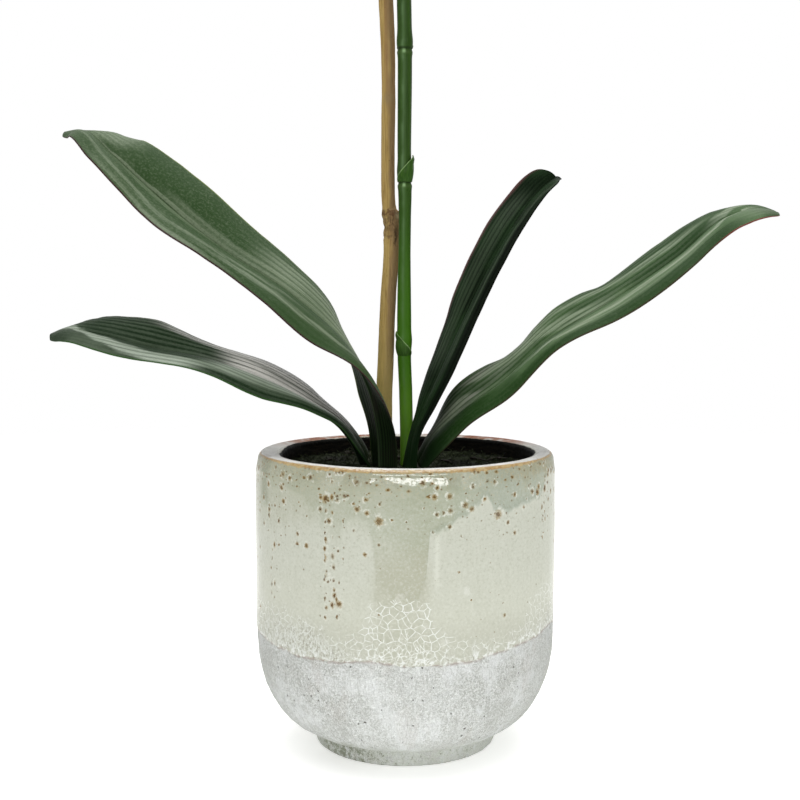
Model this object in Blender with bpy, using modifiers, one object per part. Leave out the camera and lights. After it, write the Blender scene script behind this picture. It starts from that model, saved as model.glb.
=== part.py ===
# Potted moth orchid: glazed pot, planting mix, four strap leaves, a flower spike
# tied to a wooden stake, four blooms and three buds. Metres, +Z up. The pot's
# foot stands on z = 0 with its centre at the origin, and the front looks along -Y.
import math

import bmesh
import bpy
import numpy as np
from mathutils import Matrix, Vector

for old in list(bpy.data.objects):
    bpy.data.objects.remove(old, do_unlink=True)

MM = 0.001
GAP = 0.0004                # clearance left between neighbouring pieces
MERGE = 0.00002             # merge distance for turned shapes

# pot
POT_HEIGHT = 0.149
POT_RADIUS = 0.076
POT_WALL = 0.0114
POT_STRAIGHT_FROM = 0.0638  # above this height the side is a plain cylinder
POT_TURN = 0.0432           # how far the side draws in towards the foot
POT_POWER = 2.45            # squareness of that turn
POT_BODY_BOTTOM = 0.0061    # where the turn would close
FOOT_RADIUS = 0.0457
FOOT_HEIGHT = 0.0078
FOOT_EDGE = 0.001
LIP_ROUND = 0.0034
LIP_INSET = 0.0010          # the side leans in a little towards the lip
LIP_INNER = 0.0016
POT_FLOOR = 0.013
TURN_STEPS = 48
INNER_RADIUS = POT_RADIUS - POT_WALL

# planting mix
MIX_TOP = 0.1402
MIX_PLATEAU = 0.1392        # flat middle that the plant stands on
PLATEAU_RADIUS = 0.027
PLANT_BASE = MIX_PLATEAU + GAP

# plant
LEAF_THICK = 0.0018
LEAF_ROWS = 16
LEAF_CELLS = 4
LEAF_ARCH = 0.10            # how far each half bows up, as a share of its width
SPIKE_RADIUS = 0.0037
SPIKE_STEPS = 34
STAKE_RADIUS = 0.0038
STAKE_BUTT = 0.0003         # how much thicker the stake is at its foot
STAKE_TOP = 0.500
BRACT_THICK = 0.0006
CLIP_HEIGHT = 0.006
CLIP_THICK = 0.0011
TEPAL_THICK = 0.0009
TEPAL_FOOT = 3.05           # distance of a petal's foot from the flower's middle (mm)

plant = bpy.data.collections.new("potted_orchid")
bpy.context.scene.collection.children.link(plant)


def material(name, colour, roughness, metallic=0.0):
    made = bpy.data.materials.new(name)
    made.use_nodes = True
    shader = made.node_tree.nodes["Principled BSDF"]
    shader.inputs["Base Color"].default_value = (*colour, 1.0)
    shader.inputs["Roughness"].default_value = roughness
    shader.inputs["Metallic"].default_value = metallic
    return made


glaze = material("pot_glaze", (0.60, 0.60, 0.47), 0.16)
mix_stuff = material("planting_mix", (0.035, 0.030, 0.016), 0.90)
leaf_green = material("leaf_green", (0.045, 0.095, 0.045), 0.38)
leaf_dark = material("leaf_dark_green", (0.018, 0.045, 0.022), 0.36)
spike_green = material("spike_green", (0.060, 0.170, 0.022), 0.34)
bract_green = material("bract_green", (0.075, 0.180, 0.030), 0.40)
crown_green = material("crown_green", (0.060, 0.110, 0.035), 0.50)
stake_wood = material("stake_wood", (0.300, 0.180, 0.085), 0.72)
clip_green = material("clip_plastic", (0.030, 0.110, 0.035), 0.45)
petal_white = material("petal_white", (0.860, 0.850, 0.830), 0.48)
sepal_white = material("sepal_white", (0.820, 0.830, 0.780), 0.50)
lip_rose = material("lip_rose", (0.620, 0.180, 0.260), 0.42)
column_cream = material("column_cream", (0.780, 0.760, 0.640), 0.44)
bud_green = material("bud_green", (0.420, 0.480, 0.230), 0.46)


def put(name, data, parent=None):
    thing = bpy.data.objects.new(name, data)
    thing.parent = parent
    plant.objects.link(thing)
    return thing


def through(knots, values, at):
    # smooth curve through the given values
    knots = np.asarray(knots, float)
    values = np.asarray(values, float)
    slopes = np.gradient(values, knots, axis=0)
    i = int(np.clip(np.searchsorted(knots, at) - 1, 0, len(knots) - 2))
    span = knots[i + 1] - knots[i]
    t = (at - knots[i]) / span
    return ((2 * t**3 - 3 * t**2 + 1) * values[i] + (t**3 - 2 * t**2 + t) * span * slopes[i]
            + (3 * t**2 - 2 * t**3) * values[i + 1] + (t**3 - t**2) * span * slopes[i + 1])


def length_shares(points):
    # share of the whole length at each point of a path
    steps = [0.0]
    for a, b in zip(points, points[1:]):
        steps.append(steps[-1] + math.dist(a, b))
    return [s / steps[-1] for s in steps]


def turned(name, profile, made_of):
    # profile: (radius, height) points from the axis round to the axis, down the outside
    mesh = bpy.data.meshes.new(name)
    points = [(radius, 0.0, height) for radius, height in profile]
    mesh.from_pydata(points, [(i, i + 1) for i in range(len(points) - 1)], [])
    mesh.materials.append(made_of)
    thing = put(name, mesh)
    screw = thing.modifiers.new("turn", "SCREW")
    screw.steps = TURN_STEPS
    screw.render_steps = TURN_STEPS
    screw.use_merge_vertices = True
    screw.merge_threshold = MERGE
    screw.use_smooth_shade = True
    return thing


def rod(name, points, radii, made_of, resolution=3, parent=None):
    # round rod of changing thickness along a path, with closed ends
    curve = bpy.data.curves.new(name, "CURVE")
    curve.dimensions = "3D"
    curve.bevel_depth = 1.0
    curve.bevel_resolution = resolution
    curve.use_fill_caps = True
    spline = curve.splines.new("POLY")
    spline.points.add(len(points) - 1)
    for spot, point, radius in zip(spline.points, points, radii):
        spot.co = (*point, 1.0)
        spot.radius = radius
    curve.materials.append(made_of)
    return put(name, curve, parent)


def skin_mesh(name, rows, cells, place, made_of):
    # an open sheet: place(along, across) with along 0 to 1 and across -1 to 1
    data = bmesh.new()
    bmesh.ops.create_grid(data, x_segments=cells, y_segments=rows, size=1.0)
    for vert in data.verts:
        vert.co = place(0.5 + vert.co.y / 2, vert.co.x)
    mesh = bpy.data.meshes.new(name)
    data.to_mesh(mesh)
    data.free()
    mesh.materials.append(made_of)
    mesh.shade_smooth()
    return mesh


def thicken(thing, thickness):
    solid = thing.modifiers.new("thickness", "SOLIDIFY")
    solid.thickness = thickness
    solid.offset = 0.0
    solid.use_even_offset = True
    return thing


# pot
def side_radius(height, bottom, reach):
    # radius of a side that draws in below the straight part
    rise = (POT_STRAIGHT_FROM - height) / (POT_STRAIGHT_FROM - bottom)
    return POT_RADIUS - POT_TURN + reach * (1 - min(1.0, rise)**POT_POWER) ** (1 / POT_POWER)


HOLLOW_SHARES = (1.0, 0.95, 0.8, 0.5)
SIDE_SHARES = (0.64, 0.42, 0.26, 0.15, 0.08, 0.03)


def make_pot():
    depth = POT_STRAIGHT_FROM - POT_FLOOR
    profile = [(0.0, POT_FLOOR)]
    for share in HOLLOW_SHARES:
        z = POT_STRAIGHT_FROM - share * depth
        profile.append((side_radius(z, POT_FLOOR, POT_TURN - POT_WALL), z))
    profile += [(INNER_RADIUS, POT_STRAIGHT_FROM), (INNER_RADIUS, 0.120),
                (INNER_RADIUS, POT_HEIGHT - LIP_INNER), (INNER_RADIUS + LIP_INNER, POT_HEIGHT)]
    for degrees in (90, 60, 30, 0):
        a = math.radians(degrees)
        profile.append((POT_RADIUS - LIP_INSET - LIP_ROUND + LIP_ROUND * math.cos(a),
                        POT_HEIGHT - LIP_ROUND + LIP_ROUND * math.sin(a)))
    profile += [(POT_RADIUS, 0.115), (POT_RADIUS, POT_STRAIGHT_FROM)]
    for share in SIDE_SHARES:
        z = FOOT_HEIGHT + share * (POT_STRAIGHT_FROM - FOOT_HEIGHT)
        profile.append((side_radius(z, POT_BODY_BOTTOM, POT_TURN), z))
    profile += [(FOOT_RADIUS, FOOT_HEIGHT), (FOOT_RADIUS, FOOT_EDGE),
                (FOOT_RADIUS - FOOT_EDGE, 0.0), (0.0, 0.0)]
    turned("pot", profile, glaze)


def make_mix():
    profile = [(0.0, MIX_PLATEAU), (PLATEAU_RADIUS, MIX_PLATEAU), (0.038, MIX_TOP),
               (INNER_RADIUS - 0.003, MIX_TOP),
               (INNER_RADIUS - GAP, MIX_TOP - 0.002), (INNER_RADIUS - GAP, POT_STRAIGHT_FROM + GAP)]
    for share in HOLLOW_SHARES[::-1]:
        z = POT_STRAIGHT_FROM - share * (POT_STRAIGHT_FROM - POT_FLOOR)
        profile.append((side_radius(z, POT_FLOOR, POT_TURN - POT_WALL) - GAP, z + GAP))
    profile.append((0.0, POT_FLOOR + GAP))
    turned("planting_mix", profile, mix_stuff)


make_pot()
make_mix()

# Leaves. Each station: share of the length, midrib point (mm), and how many
# degrees the far half and the near half rise off the level at that point.
LEAVES = {
    "leaf_upper_left": dict(lean=-1, half=27.2, base=0.40, stations=[
        (0.00, (-12, -8, 140.4), -25, 45), (0.08, (-13, -7, 160), -23, 30),
        (0.17, (-18, -4, 182), -25, 4), (0.27, (-31, 3, 203), -10, -24),
        (0.40, (-59, 12, 227), 23, -22), (0.56, (-94, 23, 249), 42, -14),
        (0.72, (-127, 31, 275), 51, -21), (0.86, (-155, 37, 300), 48, -16),
        (0.95, (-171, 41, 312), 20, -20), (1.00, (-182, 43, 313), 25, -24)]),
    "leaf_lower_left": dict(lean=-1, half=22.6, base=0.42, stations=[
        (0.00, (-22, 3, 141.4), 26, 24), (0.07, (-25, 0, 150), 13, 8),
        (0.16, (-33, -4, 162), 6, 2), (0.26, (-47, -10, 172), 18, 0),
        (0.40, (-69, -15, 185), 18, -17), (0.56, (-97, -20, 195), 17, -11),
        (0.72, (-125, -24, 201), 32, -11), (0.86, (-150, -28, 208), 23, -16),
        (0.95, (-165, -28, 209), 9, -24), (1.00, (-172, -28, 207), 16, -34)]),
    "leaf_lower_right": dict(lean=1, half=22.3, base=0.42, stations=[
        (0.00, (7, -5, 142.4), 13, -20), (0.08, (14, -7, 155), 15, -31),
        (0.16, (28, -8, 168), 44, -20), (0.26, (47, -10, 182), 30, -18),
        (0.40, (72, -9, 204), 28, -8), (0.56, (104, -7, 224), 25, -19),
        (0.72, (136, -2, 245), 24, -13), (0.86, (161, 3, 265), 18, -15),
        (0.95, (179, 6, 270), 21, -17), (1.00, (189, 7, 268), 19, -15)]),
    "leaf_upper_right": dict(lean=1, half=20.6, base=0.45, stations=[
        (0.00, (3, -16, 139.8), 30, -14), (0.08, (5, -15, 156), 12, -8),
        (0.16, (10, -10, 170), 10, -14), (0.26, (18, 2, 187), 18, -14),
        (0.40, (29, 22, 209), 23, -12), (0.56, (43, 38, 236), 29, -10),
        (0.72, (58, 55, 261), 30, -9), (0.86, (72, 72, 280), 38, -10),
        (0.95, (81, 82, 290), 52, -20), (1.00, (86, 88, 294), 60, -40)]),
}


def leaf_half_width(share, half, base):
    # narrow sheath at the foot, widest past the middle, rounded tip
    body = base + (1 - base) * math.sin(min(1.0, share / 0.58) * math.pi / 2) ** 0.9
    close = max(0.0, (share - 0.74) / 0.26)
    return half * body * max(0.02, 1 - close**2.3) ** 0.52


def make_leaf(name, lean, half, base, stations, made_of):
    knots, mids, far_rises, near_rises = zip(*stations)

    def place(share, across):
        mid = Vector(through(knots, mids, share))
        ahead = Vector(through(knots, mids, min(1.0, share + 0.01))
                       - through(knots, mids, max(0.0, share - 0.01))).normalized()
        far = Vector((0, 1, 0))
        far = (far - ahead * far.dot(ahead)).normalized()
        up = lean * ahead.cross(far)
        level = far if across > 0 else -far
        rise = math.radians(through(knots, far_rises if across > 0 else near_rises, share))
        out = level * math.cos(rise) + up * math.sin(rise)
        bow = up * math.cos(rise) - level * math.sin(rise)
        reach = abs(across)
        lift = LEAF_ARCH * 4 * reach * (1 - reach)
        return (mid + leaf_half_width(share, half, base) * (reach * out + lift * bow)) * MM

    thicken(put(name, skin_mesh(name, LEAF_ROWS, LEAF_CELLS, place, made_of)), LEAF_THICK)


for leaf_name, shape in LEAVES.items():
    make_leaf(leaf_name, made_of=leaf_dark if leaf_name == "leaf_upper_right" else leaf_green, **shape)

CROWN_AT = (-0.007, -0.0055)
rod("crown", [(*CROWN_AT, PLANT_BASE + rise) for rise in (0.0, 0.004, 0.009, 0.012)],
    [0.0024, 0.0026, 0.0021, 0.0008], crown_green)

# Flower spike: upright beside the stake, then arching to the front and right (mm).
SPIKE_POINTS = [(0.6, 4, 139.9), (0.5, 4, 152), (-0.1, 4, 176), (-0.9, 4, 252), (-0.7, 4, 300),
                (-0.4, 4, 350), (-1.0, 4, 390), (-1.0, 4, 440), (1, 3, 470), (13, -5, 505),
                (38, -22, 540), (70, -42, 557), (101, -60, 552), (122, -73, 537)]
SPIKE_SHARES = length_shares(SPIKE_POINTS)
SPIKE_JOINTS = (204, 289, 353, 424)     # heights of the swollen joints (mm)
UPRIGHT = 8                             # the first points, where height gives the place


def spike_at(share):
    return Vector(through(SPIKE_SHARES, SPIKE_POINTS, share)) * MM


def spike_share(height):
    return float(np.interp(height, [p[2] for p in SPIKE_POINTS[:UPRIGHT]], SPIKE_SHARES[:UPRIGHT]))


def spike_radius(share):
    slim = SPIKE_RADIUS * (1 - 0.55 * max(0.0, (share - 0.55) / 0.45))
    height = spike_at(share).z / MM
    if share < 0.6:
        slim += sum(0.0005 * math.exp(-((height - joint) / 4.0) ** 2) for joint in SPIKE_JOINTS)
    return slim


def make_spike():
    even = [k / SPIKE_STEPS for k in range(SPIKE_STEPS + 1)]
    round_joints = [spike_share(joint + step) for joint in SPIKE_JOINTS for step in (-4, 0, 4)]
    shares = sorted(even + round_joints)
    rod("flower_spike", [spike_at(s) for s in shares], [spike_radius(s) for s in shares],
        spike_green, resolution=4)


def make_bract(name, height, facing, tall):
    # pointed scale wrapped round one side of a joint
    centre = spike_at(spike_share(height))
    facing = math.radians(facing)

    def place(rise, across):
        turn = facing + across * (math.radians(100) * (1 - rise) ** 0.55 + 0.06)
        reach = SPIKE_RADIUS + 0.0009 + GAP + 0.0007 * rise
        return centre + Vector((reach * math.cos(turn), reach * math.sin(turn), tall * rise))

    thicken(put(name, skin_mesh(name, 4, 5, place, bract_green)), BRACT_THICK)


make_spike()
make_bract("bract_lower", 203, 200, 0.008)
make_bract("bract_middle", 290, -15, 0.010)
make_bract("bract_upper", 348, 80, 0.007)

# Stake: a slightly crooked cane with a knot where it bows towards the spike (mm).
STAKE_Y = 14
STAKE_POINTS = [(-11.0, PLANT_BASE / MM), (-10.7, 173), (-10.1, 200), (-9.2, 228), (-7.9, 250), (-7.9, 264),
                (-8.5, 275), (-9.1, 284), (-8.9, 330), (-9.5, 375), (-10.2, 440),
                (-10.2, STAKE_TOP / MM)]
KNOT_HEIGHT = 260


def stake_radius(height):
    # thicker towards the foot, and swollen at the knot; height in mm
    foot = STAKE_BUTT * (1 - min(1.0, (height - PLANT_BASE / MM) / 130))
    return STAKE_RADIUS + foot + 0.0004 * math.exp(-((height - KNOT_HEIGHT) / 14) ** 2)


rod("stake", [(x * MM, STAKE_Y * MM, z * MM) for x, z in STAKE_POINTS],
    [stake_radius(z) for x, z in STAKE_POINTS], stake_wood, resolution=4)


def make_clip(name, height):
    # band round the stake and the spike: a circle drawn out to hold both
    stake_x = float(np.interp(height, [z for x, z in STAKE_POINTS], [x for x, z in STAKE_POINTS]))
    stake_end = Vector((stake_x, STAKE_Y)) * MM
    spike_end = spike_at(spike_share(height)).to_2d()
    half = (spike_end - stake_end) / 2
    data = bmesh.new()
    bmesh.ops.create_circle(data, segments=16, radius=STAKE_RADIUS + 0.0005 + CLIP_THICK / 2)
    for vert in data.verts:
        vert.co += (half if vert.co.to_2d().dot(half) > 0 else -half).to_3d()
    raised = bmesh.ops.extrude_edge_only(data, edges=data.edges[:])["geom"]
    for vert in raised:
        if isinstance(vert, bmesh.types.BMVert):
            vert.co.z += CLIP_HEIGHT
    mesh = bpy.data.meshes.new(name)
    data.to_mesh(mesh)
    data.free()
    mesh.materials.append(clip_green)
    clip = put(name, mesh)
    clip.location = (*((stake_end + spike_end) / 2), height * MM - CLIP_HEIGHT / 2)
    thicken(clip, CLIP_THICK)


make_clip("clip_lower", 402)
make_clip("clip_upper", 436)


# Blooms. Each one's frame: x across the face, y out of the back, z up; sizes in mm.
def tepal_mesh(name, angle, length, width, foot, depth, bend, cup, made_of):
    # one petal or sepal pointing along an angle in the face; foot: its share of the width
    out = Vector((math.cos(math.radians(angle)), 0, math.sin(math.radians(angle))))
    side = Vector((-out.z, 0, out.x))

    def place(t, across):
        grow = foot + (1 - foot) * math.sin(math.pi / 2 * min(1.0, t / 0.48)) ** 1.2
        close = max(0.02, 1 - max(0.0, (t - 0.48) / 0.52) ** 2.4) ** 0.5
        belly = math.sin(math.pi * t)
        reach = TEPAL_FOOT + length * t - 0.06 * length * across**2 * belly
        back = depth + bend * t * t + cup * across**2 * belly
        return (out * reach + side * (across * width / 2 * grow * close)
                + Vector((0, back, 0))) * MM

    return skin_mesh(name, 6, 4, place, made_of)


def lip_place(t, across):
    # hinged below the column: raised side lobes, then a pointed middle lobe
    knots = (0.0, 0.22, 0.42, 0.68, 0.88, 1.0)
    out = through(knots, (2.4, 6.0, 9.5, 13.0, 13.5, 12.5), t)
    down = through(knots, (3.9, 5.2, 7.5, 12.0, 17.5, 21.0), t)
    half = through(knots, (1.4, 5.6, 3.4, 6.2, 2.4, 0.8), t)
    raised = through(knots, (0.0, 6.5, 1.0, 0.5, 0.2, 0.0), t)
    return Vector((across * half, -out, raised * across**2 - down)) * MM


BLOOM_MESHES = {
    "sepal_top": tepal_mesh("sepal_top", 90, 37, 25, 0.15, 3.2, 4, -1.0, sepal_white),
    "sepal_left": tepal_mesh("sepal_left", 214, 36, 24, 0.15, 3.2, 3, -1.0, sepal_white),
    "sepal_right": tepal_mesh("sepal_right", 326, 36, 24, 0.15, 3.2, 3, -1.0, sepal_white),
    "petal_left": tepal_mesh("petal_left", 172, 38, 42, 0.11, 0.0, -3, 1.2, petal_white),
    "petal_right": tepal_mesh("petal_right", 8, 38, 42, 0.11, 0.0, -3, 1.2, petal_white),
    "lip": skin_mesh("lip", 8, 4, lip_place, lip_rose),
}


def stalk_start(share, aim):
    # where a stalk leaves the spike: square to it and just clear of its skin
    at = spike_at(share)
    ahead = (spike_at(min(1.0, share + 0.01)) - spike_at(share - 0.01)).normalized()
    out = aim - at
    out = (out - ahead * out.dot(ahead)).normalized()
    skin = spike_radius(share) + GAP
    return at + out * skin, at + out * (skin + 0.006)


def stalk(name, points, radii, steps, made_of):
    shares = length_shares(points)
    even = [k / steps for k in range(steps + 1)]
    rod(name, [through(shares, points, s) for s in even],
        [float(through(shares, radii, s)) for s in even], made_of, resolution=2)


def make_bloom(name, step, centre, yaw, nod, roll):
    # step: which step of the spike carries it; yaw, nod and roll in degrees
    frame = bpy.data.objects.new(name, None)
    plant.objects.link(frame)
    frame.location = Vector(centre) * MM
    frame.rotation_euler = (math.radians(nod), math.radians(roll), math.radians(yaw))
    place = Matrix.LocRotScale(frame.location, frame.rotation_euler, None)
    for piece, mesh in BLOOM_MESHES.items():
        thicken(put(name + "_" + piece, mesh, frame), TEPAL_THICK)
    # the stalk comes in from behind and ends as the column in front
    middle = [place @ (Vector(p) * MM) for p in
              ((0, 14, 0), (0, 5, 0), (0, 0, 0), (0, -5, 0.6), (0, -8, 0.4), (0, -9.4, 0))]
    first, second = stalk_start(step / SPIKE_STEPS, middle[0])
    stalk(name + "_column", [first, second] + middle,
          [0.0012, 0.0012, 0.0013, 0.0022, 0.0024, 0.0024, 0.0022, 0.0009], 16, column_cream)


def make_bud(name, step, tip, girth):
    tip = Vector(tip) * MM
    first, second = stalk_start(step / SPIKE_STEPS, tip)
    fall = (tip - second).normalized()
    stalk(name, [first, second, second + fall * 0.007, tip - fall * 0.009, tip - fall * 0.004, tip],
          [0.0009, 0.0009, 0.0012, girth, girth * 0.8, 0.0006], 11, bud_green)


make_bloom("bloom_1", 20, (-39, -24, 468), -17, -6, 5)
make_bloom("bloom_2", 22, (49, -34, 487), 17, -7, -6)
make_bloom("bloom_3", 25, (-20, -56, 539), -10, -3, 4)
make_bloom("bloom_4", 27, (68, -82, 541), 12, -6, -3)
make_bud("bud_1", 30, (84, -28, 530), 0.0062)
make_bud("bud_2", 32, (92, -64, 526), 0.0052)
make_bud("bud_3", 33, (121, -58, 517), 0.0040)
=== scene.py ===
import math
import random

import bmesh
import bpy
import numpy as np
from mathutils import Matrix, Vector, noise


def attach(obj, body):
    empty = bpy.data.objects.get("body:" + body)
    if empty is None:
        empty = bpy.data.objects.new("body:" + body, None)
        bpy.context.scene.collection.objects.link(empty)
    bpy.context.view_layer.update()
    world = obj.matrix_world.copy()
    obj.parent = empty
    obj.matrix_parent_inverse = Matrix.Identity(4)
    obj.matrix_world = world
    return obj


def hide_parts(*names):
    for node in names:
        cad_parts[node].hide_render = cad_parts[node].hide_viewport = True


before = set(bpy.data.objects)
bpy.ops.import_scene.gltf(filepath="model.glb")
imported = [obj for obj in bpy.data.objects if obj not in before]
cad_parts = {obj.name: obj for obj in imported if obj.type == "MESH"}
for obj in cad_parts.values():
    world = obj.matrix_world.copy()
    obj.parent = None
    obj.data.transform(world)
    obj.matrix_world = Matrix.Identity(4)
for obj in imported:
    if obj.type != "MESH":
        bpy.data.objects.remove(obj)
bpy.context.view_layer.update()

mm = 0.001
fullTurn = 2 * math.pi
chance = random.Random(41)


def say(stage):
    print("stage:", stage, flush=True)


class Signal:
    # one shader socket: arithmetic on it adds Math nodes, and node() adds any other kind

    def __init__(self, tree, socket=None):
        self.tree = tree
        self.socket = socket

    def node(self, kind, settings=None, values=None, out=0):
        made = self.tree.nodes.new("ShaderNode" + kind)
        for name, value in (settings or {}).items():
            setattr(made, name, value)
        for name, value in (values or {}).items():
            spot = made.inputs[name]
            if isinstance(value, Signal):
                self.tree.links.new(value.socket, spot)
            else:
                spot.default_value = (*value, 1) if spot.type == "RGBA" else value
        return Signal(self.tree, made.outputs[out])

    def parts(self, kind="SeparateXYZ"):
        owner = self.node(kind, {}, {0: self}).socket.node
        return [Signal(self.tree, socket) for socket in owner.outputs]

    def math(self, operation, *others):
        return self.node("Math", {"operation": operation}, dict(enumerate((self, *others))))

    def __add__(self, other):
        return self.math("ADD", other)

    def __sub__(self, other):
        return self.math("SUBTRACT", other)

    def __mul__(self, other):
        return self.math("MULTIPLY", other)

    def __truediv__(self, other):
        return self.math("DIVIDE", other)

    def __rsub__(self, other):
        return self.node("Math", {"operation": "SUBTRACT"}, {0: other, 1: self})

    def __abs__(self):
        return self.math("ABSOLUTE")

    __radd__ = __add__
    __rmul__ = __mul__

    def most(self, *others):
        result = self
        for other in others:
            result = result.math("MAXIMUM", other)
        return result

    def capped(self):
        return self.math("MINIMUM", 1)

    def swing(self, size):
        # noise from 0 to 1 becomes a shift of half the size either way
        return (self - 0.5) * size

    def rise(self, low, high):
        # 0 at low and 1 at high, with a soft step between; low may be the larger
        return self.node("MapRange", {"interpolation_type": "SMOOTHSTEP"},
                         {"Value": self, "From Min": low, "From Max": high})

    def near(self, centre, width):
        # 1 at the centre, falling to 0 at a distance of width
        return abs(self - centre).rise(width, 0)

    def mix(self, low, high):
        # this signal is the factor between two colours
        return self.node("Mix", {"data_type": "RGBA"}, {0: self, 6: low, 7: high}, out=2)

    def blend(self, low, high):
        # this signal is the factor between two numbers
        return self.node("Mix", {"data_type": "FLOAT"}, {0: self, 2: low, 3: high})

    def times(self, factors):
        return self.node("VectorMath", {"operation": "MULTIPLY"}, {0: self, 1: factors})

    def shifted(self, other):
        return self.node("VectorMath", {"operation": "ADD"}, {0: self, 1: other})

    def noise(self, scale, detail=2, roughness=0.5, out=0):
        return self.node("TexNoise", {}, {"Vector": self, "Scale": scale, "Detail": detail,
                                          "Roughness": roughness}, out)

    def carried(self):
        # the three numbers that addPiece gave every point
        return self.node("Attribute", {"attribute_name": "coord"}, out=1).parts()

    def along(self, start, end, stops, top):
        # a given line: its height, up to top, at each place between start and end
        drawn = self.node("ValToRGB", {}, {0: (self - start) / (end - start)})
        ramp = drawn.socket.node.color_ramp
        ramp.interpolation = "EASE"
        while len(ramp.elements) < len(stops):
            ramp.elements.new(1)
        for element, (place, height) in zip(ramp.elements, stops):
            element.position = (place - start) / (end - start)
            element.color = (height / top, height / top, height / top, 1)
        return drawn * top


def vectorOf(*parts):
    first = next(part for part in parts if isinstance(part, Signal))
    return first.node("CombineXYZ", {}, dict(enumerate(parts)))


def laid(base, *layers):
    # lays colours over a base: (mask, colour) or (signal, none from, full at, strength, colour)
    for signal, *limits, colour in layers:
        mask = signal.rise(*limits[:2]) * limits[2] if limits else signal
        base = mask.mix(base, colour)
    return base


def finish(name, look, fixed=None):
    # look(place in mm) gives colour, roughness, bump and maybe coat; fixed is the same all over
    made = bpy.data.materials.new(name)
    made.use_nodes = True
    tree = made.node_tree
    shader = tree.nodes["Principled BSDF"]
    for socket, value in (fixed or {}).items():
        shader.inputs[socket].default_value = value
    place = Signal(tree).node("TexCoord", out=3).times((1000, 1000, 1000))
    colour, rough, bump, *coat = look(place)
    normal = place.node("Bump", {}, {"Strength": 1, "Distance": mm, "Height": bump})
    sockets = ("Base Color", "Roughness", "Normal", "Coat Weight")
    for socket, signal in zip(sockets, (colour, rough, normal, *coat)):
        tree.links.new(signal.socket, shader.inputs[socket])
    return made


def scattered(plane, cell, density, size, seed):
    # one round mark to a cell at most, of radius about size: its core, surround, outer ring and tone
    wobble = plane.noise(1.1, 3, 0.7, out=1).shifted((-0.5, -0.5, -0.5)).times((size * 3.4,) * 3)
    spread = plane.shifted(wobble).shifted((seed * 37.1, seed * 11.7, seed * 5.3))
    cells = spread.node("TexVoronoi", {"voronoi_dimensions": "2D"}, {"Vector": spread, "Scale": 1 / cell})
    luck, girth, tone = Signal(plane.tree, cells.socket.node.outputs[1]).parts("SeparateColor")[:3]
    alive = luck.math("LESS_THAN", density)
    share = cells * cell / ((girth + 0.35) * size)
    torn = plane.noise(2).swing(2.6)
    return ((share + torn).rise(1.1, 0.6) * alive, (share + torn * 0.6).rise(2.6, 0.9) * alive,
            (share - torn).rise(4.2, 2.3) * alive, tone)


def stand(name, data):
    thing = bpy.data.objects.new(name, data)
    bpy.context.scene.collection.objects.link(thing)
    return thing


def addPiece(name, skin, look, node):
    # skin: points in mm, faces, and maybe three numbers for every point
    points, faces, *coord = skin
    mesh = bpy.data.meshes.new(name)
    mesh.from_pydata((points * mm).tolist(), [], faces)
    mesh.shade_smooth()
    mesh.materials.append(look)
    if coord:
        carried = mesh.attributes.new("coord", "FLOAT_VECTOR", "POINT")
        carried.data.foreach_set("vector", np.asarray(coord[0], np.float32).ravel())
    thing = stand(name, mesh)
    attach(thing, "root")
    if node:
        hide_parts(node)
    return thing


def through(knots, values, at):
    # smooth curve through the given values, at one place or at many
    knots, values, at = (np.asarray(given, float) for given in (knots, values, at))
    slopes = np.gradient(values, knots, axis=0)
    i = np.clip(np.searchsorted(knots, at) - 1, 0, len(knots) - 2)
    span = knots[i + 1] - knots[i]
    t = (at - knots[i]) / span
    if values.ndim > 1:
        span = span[..., None]
        t = t[..., None]
    return ((2 * t**3 - 3 * t**2 + 1) * values[i] + (t**3 - 2 * t**2 + t) * span * slopes[i]
            + (3 * t**2 - 2 * t**3) * values[i + 1] + (t**3 - t**2) * span * slopes[i + 1])


def drawn(knots, at):
    # straight lines between the given (place, value) pairs
    return np.interp(at, *zip(*knots))


def unit(vectors):
    return vectors / np.linalg.norm(vectors, axis=-1, keepdims=True)


def grid(*parts):
    return np.stack(np.broadcast_arrays(*parts), -1)


def circle(around):
    return np.linspace(0, fullTurn, around, endpoint=False)


def walkedAlong(points):
    steps = np.linalg.norm(np.diff(np.asarray(points, float), axis=0), axis=1)
    return np.concatenate([[0], np.cumsum(steps)])


def normalsOf(sheet):
    # unit normals of a grid of points
    return unit(np.cross(np.gradient(sheet, axis=0), np.gradient(sheet, axis=1)))


def softStep(low, high, value):
    t = np.clip((value - low) / (high - low), 0, 1)
    return t * t * (3 - 2 * t)


def rippled(points, scale, octaves=3, seed=0):
    # smooth noise from about -1 to 1 at each point; points in mm
    shift = Vector((seed, seed * 2.3, -seed))
    flat = np.asarray(points, float).reshape(-1, 3) * scale
    values = [noise.fractal(Vector(p) + shift, 0.8, 2, octaves) for p in flat]
    return np.array(values).reshape(np.shape(points)[:-1])


def closedSheet(top, bottom, along=0, across=0):
    # joins two matching grids into one closed skin; its coord is share along, share across, 1 below
    rows, cells = top.shape[:2]
    points = np.concatenate([top.reshape(-1, 3), bottom.reshape(-1, 3)])
    under = rows * cells

    def at(i, j):
        return i * cells + j

    faces = []
    for i in range(rows - 1):
        for j in range(cells - 1):
            a, b, c, d = at(i, j), at(i, j + 1), at(i + 1, j + 1), at(i + 1, j)
            faces.append((a, b, c, d))
            faces.append((under + d, under + c, under + b, under + a))
    edge = [at(0, j) for j in range(cells)] + [at(i, cells - 1) for i in range(1, rows)]
    edge += [at(rows - 1, j) for j in range(cells - 2, -1, -1)] + [at(i, 0) for i in range(rows - 2, 0, -1)]
    for a, b in zip(edge, edge[1:] + edge[:1]):
        faces.append((b, a, under + a, under + b))
    flat = grid(along, across * 0.5 + 0.5, 0).reshape(-1, 3)
    return points, faces, np.concatenate([flat, flat + (0, 0, 1)])


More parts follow.
